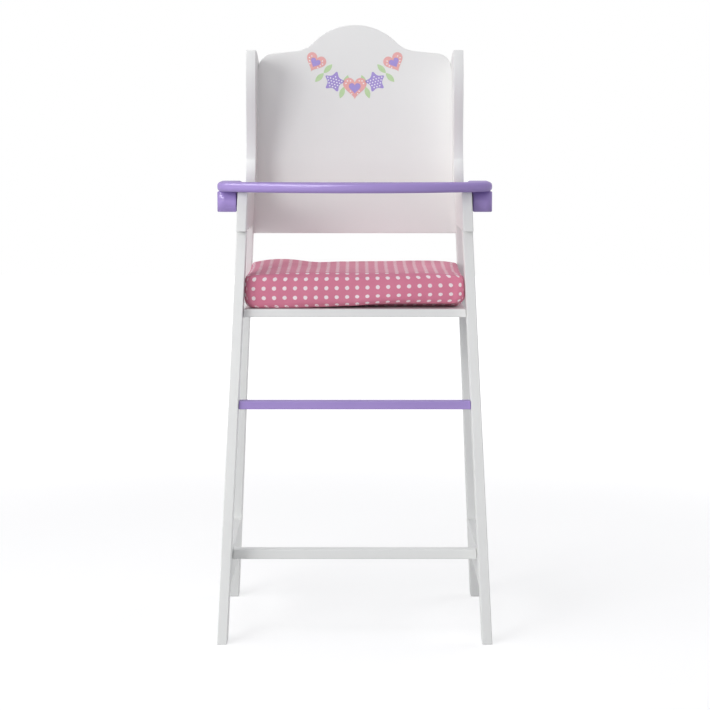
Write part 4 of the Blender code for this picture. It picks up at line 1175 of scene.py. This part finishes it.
leaf_side = [(LEAF_HALF_WIDTH * sin(pi * i / LEAF_STEPS) ** LEAF_FULLNESS,
              i / LEAF_STEPS) for i in range(LEAF_STEPS + 1)]
shapes = {
    "heart": [(0.5 * sin(t) ** 3, heart_height(t)) for t in full_turn(HEART_STEPS)],
    "star": star_outline(),
    "leaf": leaf_side + [(-x, y) for x, y in leaf_side[-2:0:-1]],
    "dot": [(0.5 * cos(t), 0.5 * sin(t)) for t in full_turn(DOT_SIDES)]}
patterns = {name: flat_motif(f"{name}_pattern", outline) for name, outline in shapes.items()}
print("motifs", list(shapes))

# %% Garland
GARLAND_Z, GARLAND_SAG, GARLAND_REACH = 676 * MM, 31 * MM, 49 * MM
HEART_SIZE, STAR_SIZE, LEAF_SIZE = 29 * MM, 27 * MM, 15 * MM
OUTER_HEART, INNER_HEART, INNER_CLEAR = 0.86, 0.5, 1.3
MOTIF_TILT = 0.5
INK_FILM, INK_DOT = 0.12 * MM, 1.7 * MM
DOT_PITCH, ROW_PITCH, DOT_ROOM, DOT_ROWS = 3.6 * MM, 0.87, 2.4, range(-4, 5)
# Each motif's shape, its share of the way along the garland and its size.
HUNG = (("heart", -1.0, HEART_SIZE * OUTER_HEART), ("star", -0.52, STAR_SIZE),
        ("heart", 0.0, HEART_SIZE), ("star", 0.52, STAR_SIZE),
        ("heart", 1.0, HEART_SIZE * OUTER_HEART))
LEAVES = (-0.78, -0.27, 0.27, 0.78)

# Each layer of ink: its motif, its ink, how many films it lies out, and its points.
layers = {"hearts_ink": ("heart", coral_ink, 2, []), "stars_ink": ("star", lavender_ink, 2, []),
          "inner_hearts_ink": ("heart", lavender_ink, 3, []),
          "leaves_ink": ("leaf", leaf_ink, 1, []), "dots_ink": ("dot", white_ink, 3, [])}


def garland_point(share):
    """Place and slope on the hanging arc, for a share from -1, left, to 1, right."""
    slope = atan(2 * GARLAND_SAG * share / GARLAND_REACH)
    return GARLAND_REACH * share, GARLAND_Z - GARLAND_SAG * (1 - share ** 2), slope


def print_motif(layer, x, z, turn, size):
    """Add one motif to a layer of ink on the panel's front."""
    _, _, films, points = layers[layer]
    points.append(((x, panel_low.y - films * INK_FILM, z), (0, -1, 0), turn, (size, size, size)))


for shape, share, size in HUNG:
    x, z, turn = garland_point(share)
    turn *= MOTIF_TILT
    print_motif(f"{shape}s_ink", x, z, turn, size)
    if shape == "heart":
        print_motif("inner_hearts_ink", x, z, turn, size * INNER_HEART)
    room, inner = size - DOT_ROOM * INK_DOT, size * INNER_HEART * INNER_CLEAR
    for row in DOT_ROWS:
        for column in DOT_ROWS:
            right, up = (column + 0.5 * (row % 2)) * DOT_PITCH, row * DOT_PITCH * ROW_PITCH
            on_inner = shape == "heart" and inside(shapes[shape], right / inner, up / inner)
            if inside(shapes[shape], right / room, up / room) and not on_inner:
                print_motif("dots_ink", x + right * cos(turn) - up * sin(turn),
                            z + right * sin(turn) + up * cos(turn), 0, INK_DOT)
for share in LEAVES:
    x, z, turn = garland_point(share)
    for lean in (0.0, pi):
        print_motif("leaves_ink", x, z, turn + lean, LEAF_SIZE)

for name, (shape, ink, _, points) in layers.items():
    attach(copies(name, patterns[shape], ink, points), "chair")
    print(name, len(points), "copies")
for pattern in patterns.values():
    bpy.data.objects.remove(pattern)

# %% Finish
size = {"cad": [list(corner) for corner in cad_box],
        "visual": [list(corner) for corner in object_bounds()]}
print("visual box", [[round(value, 4) for value in corner] for corner in size["visual"]])
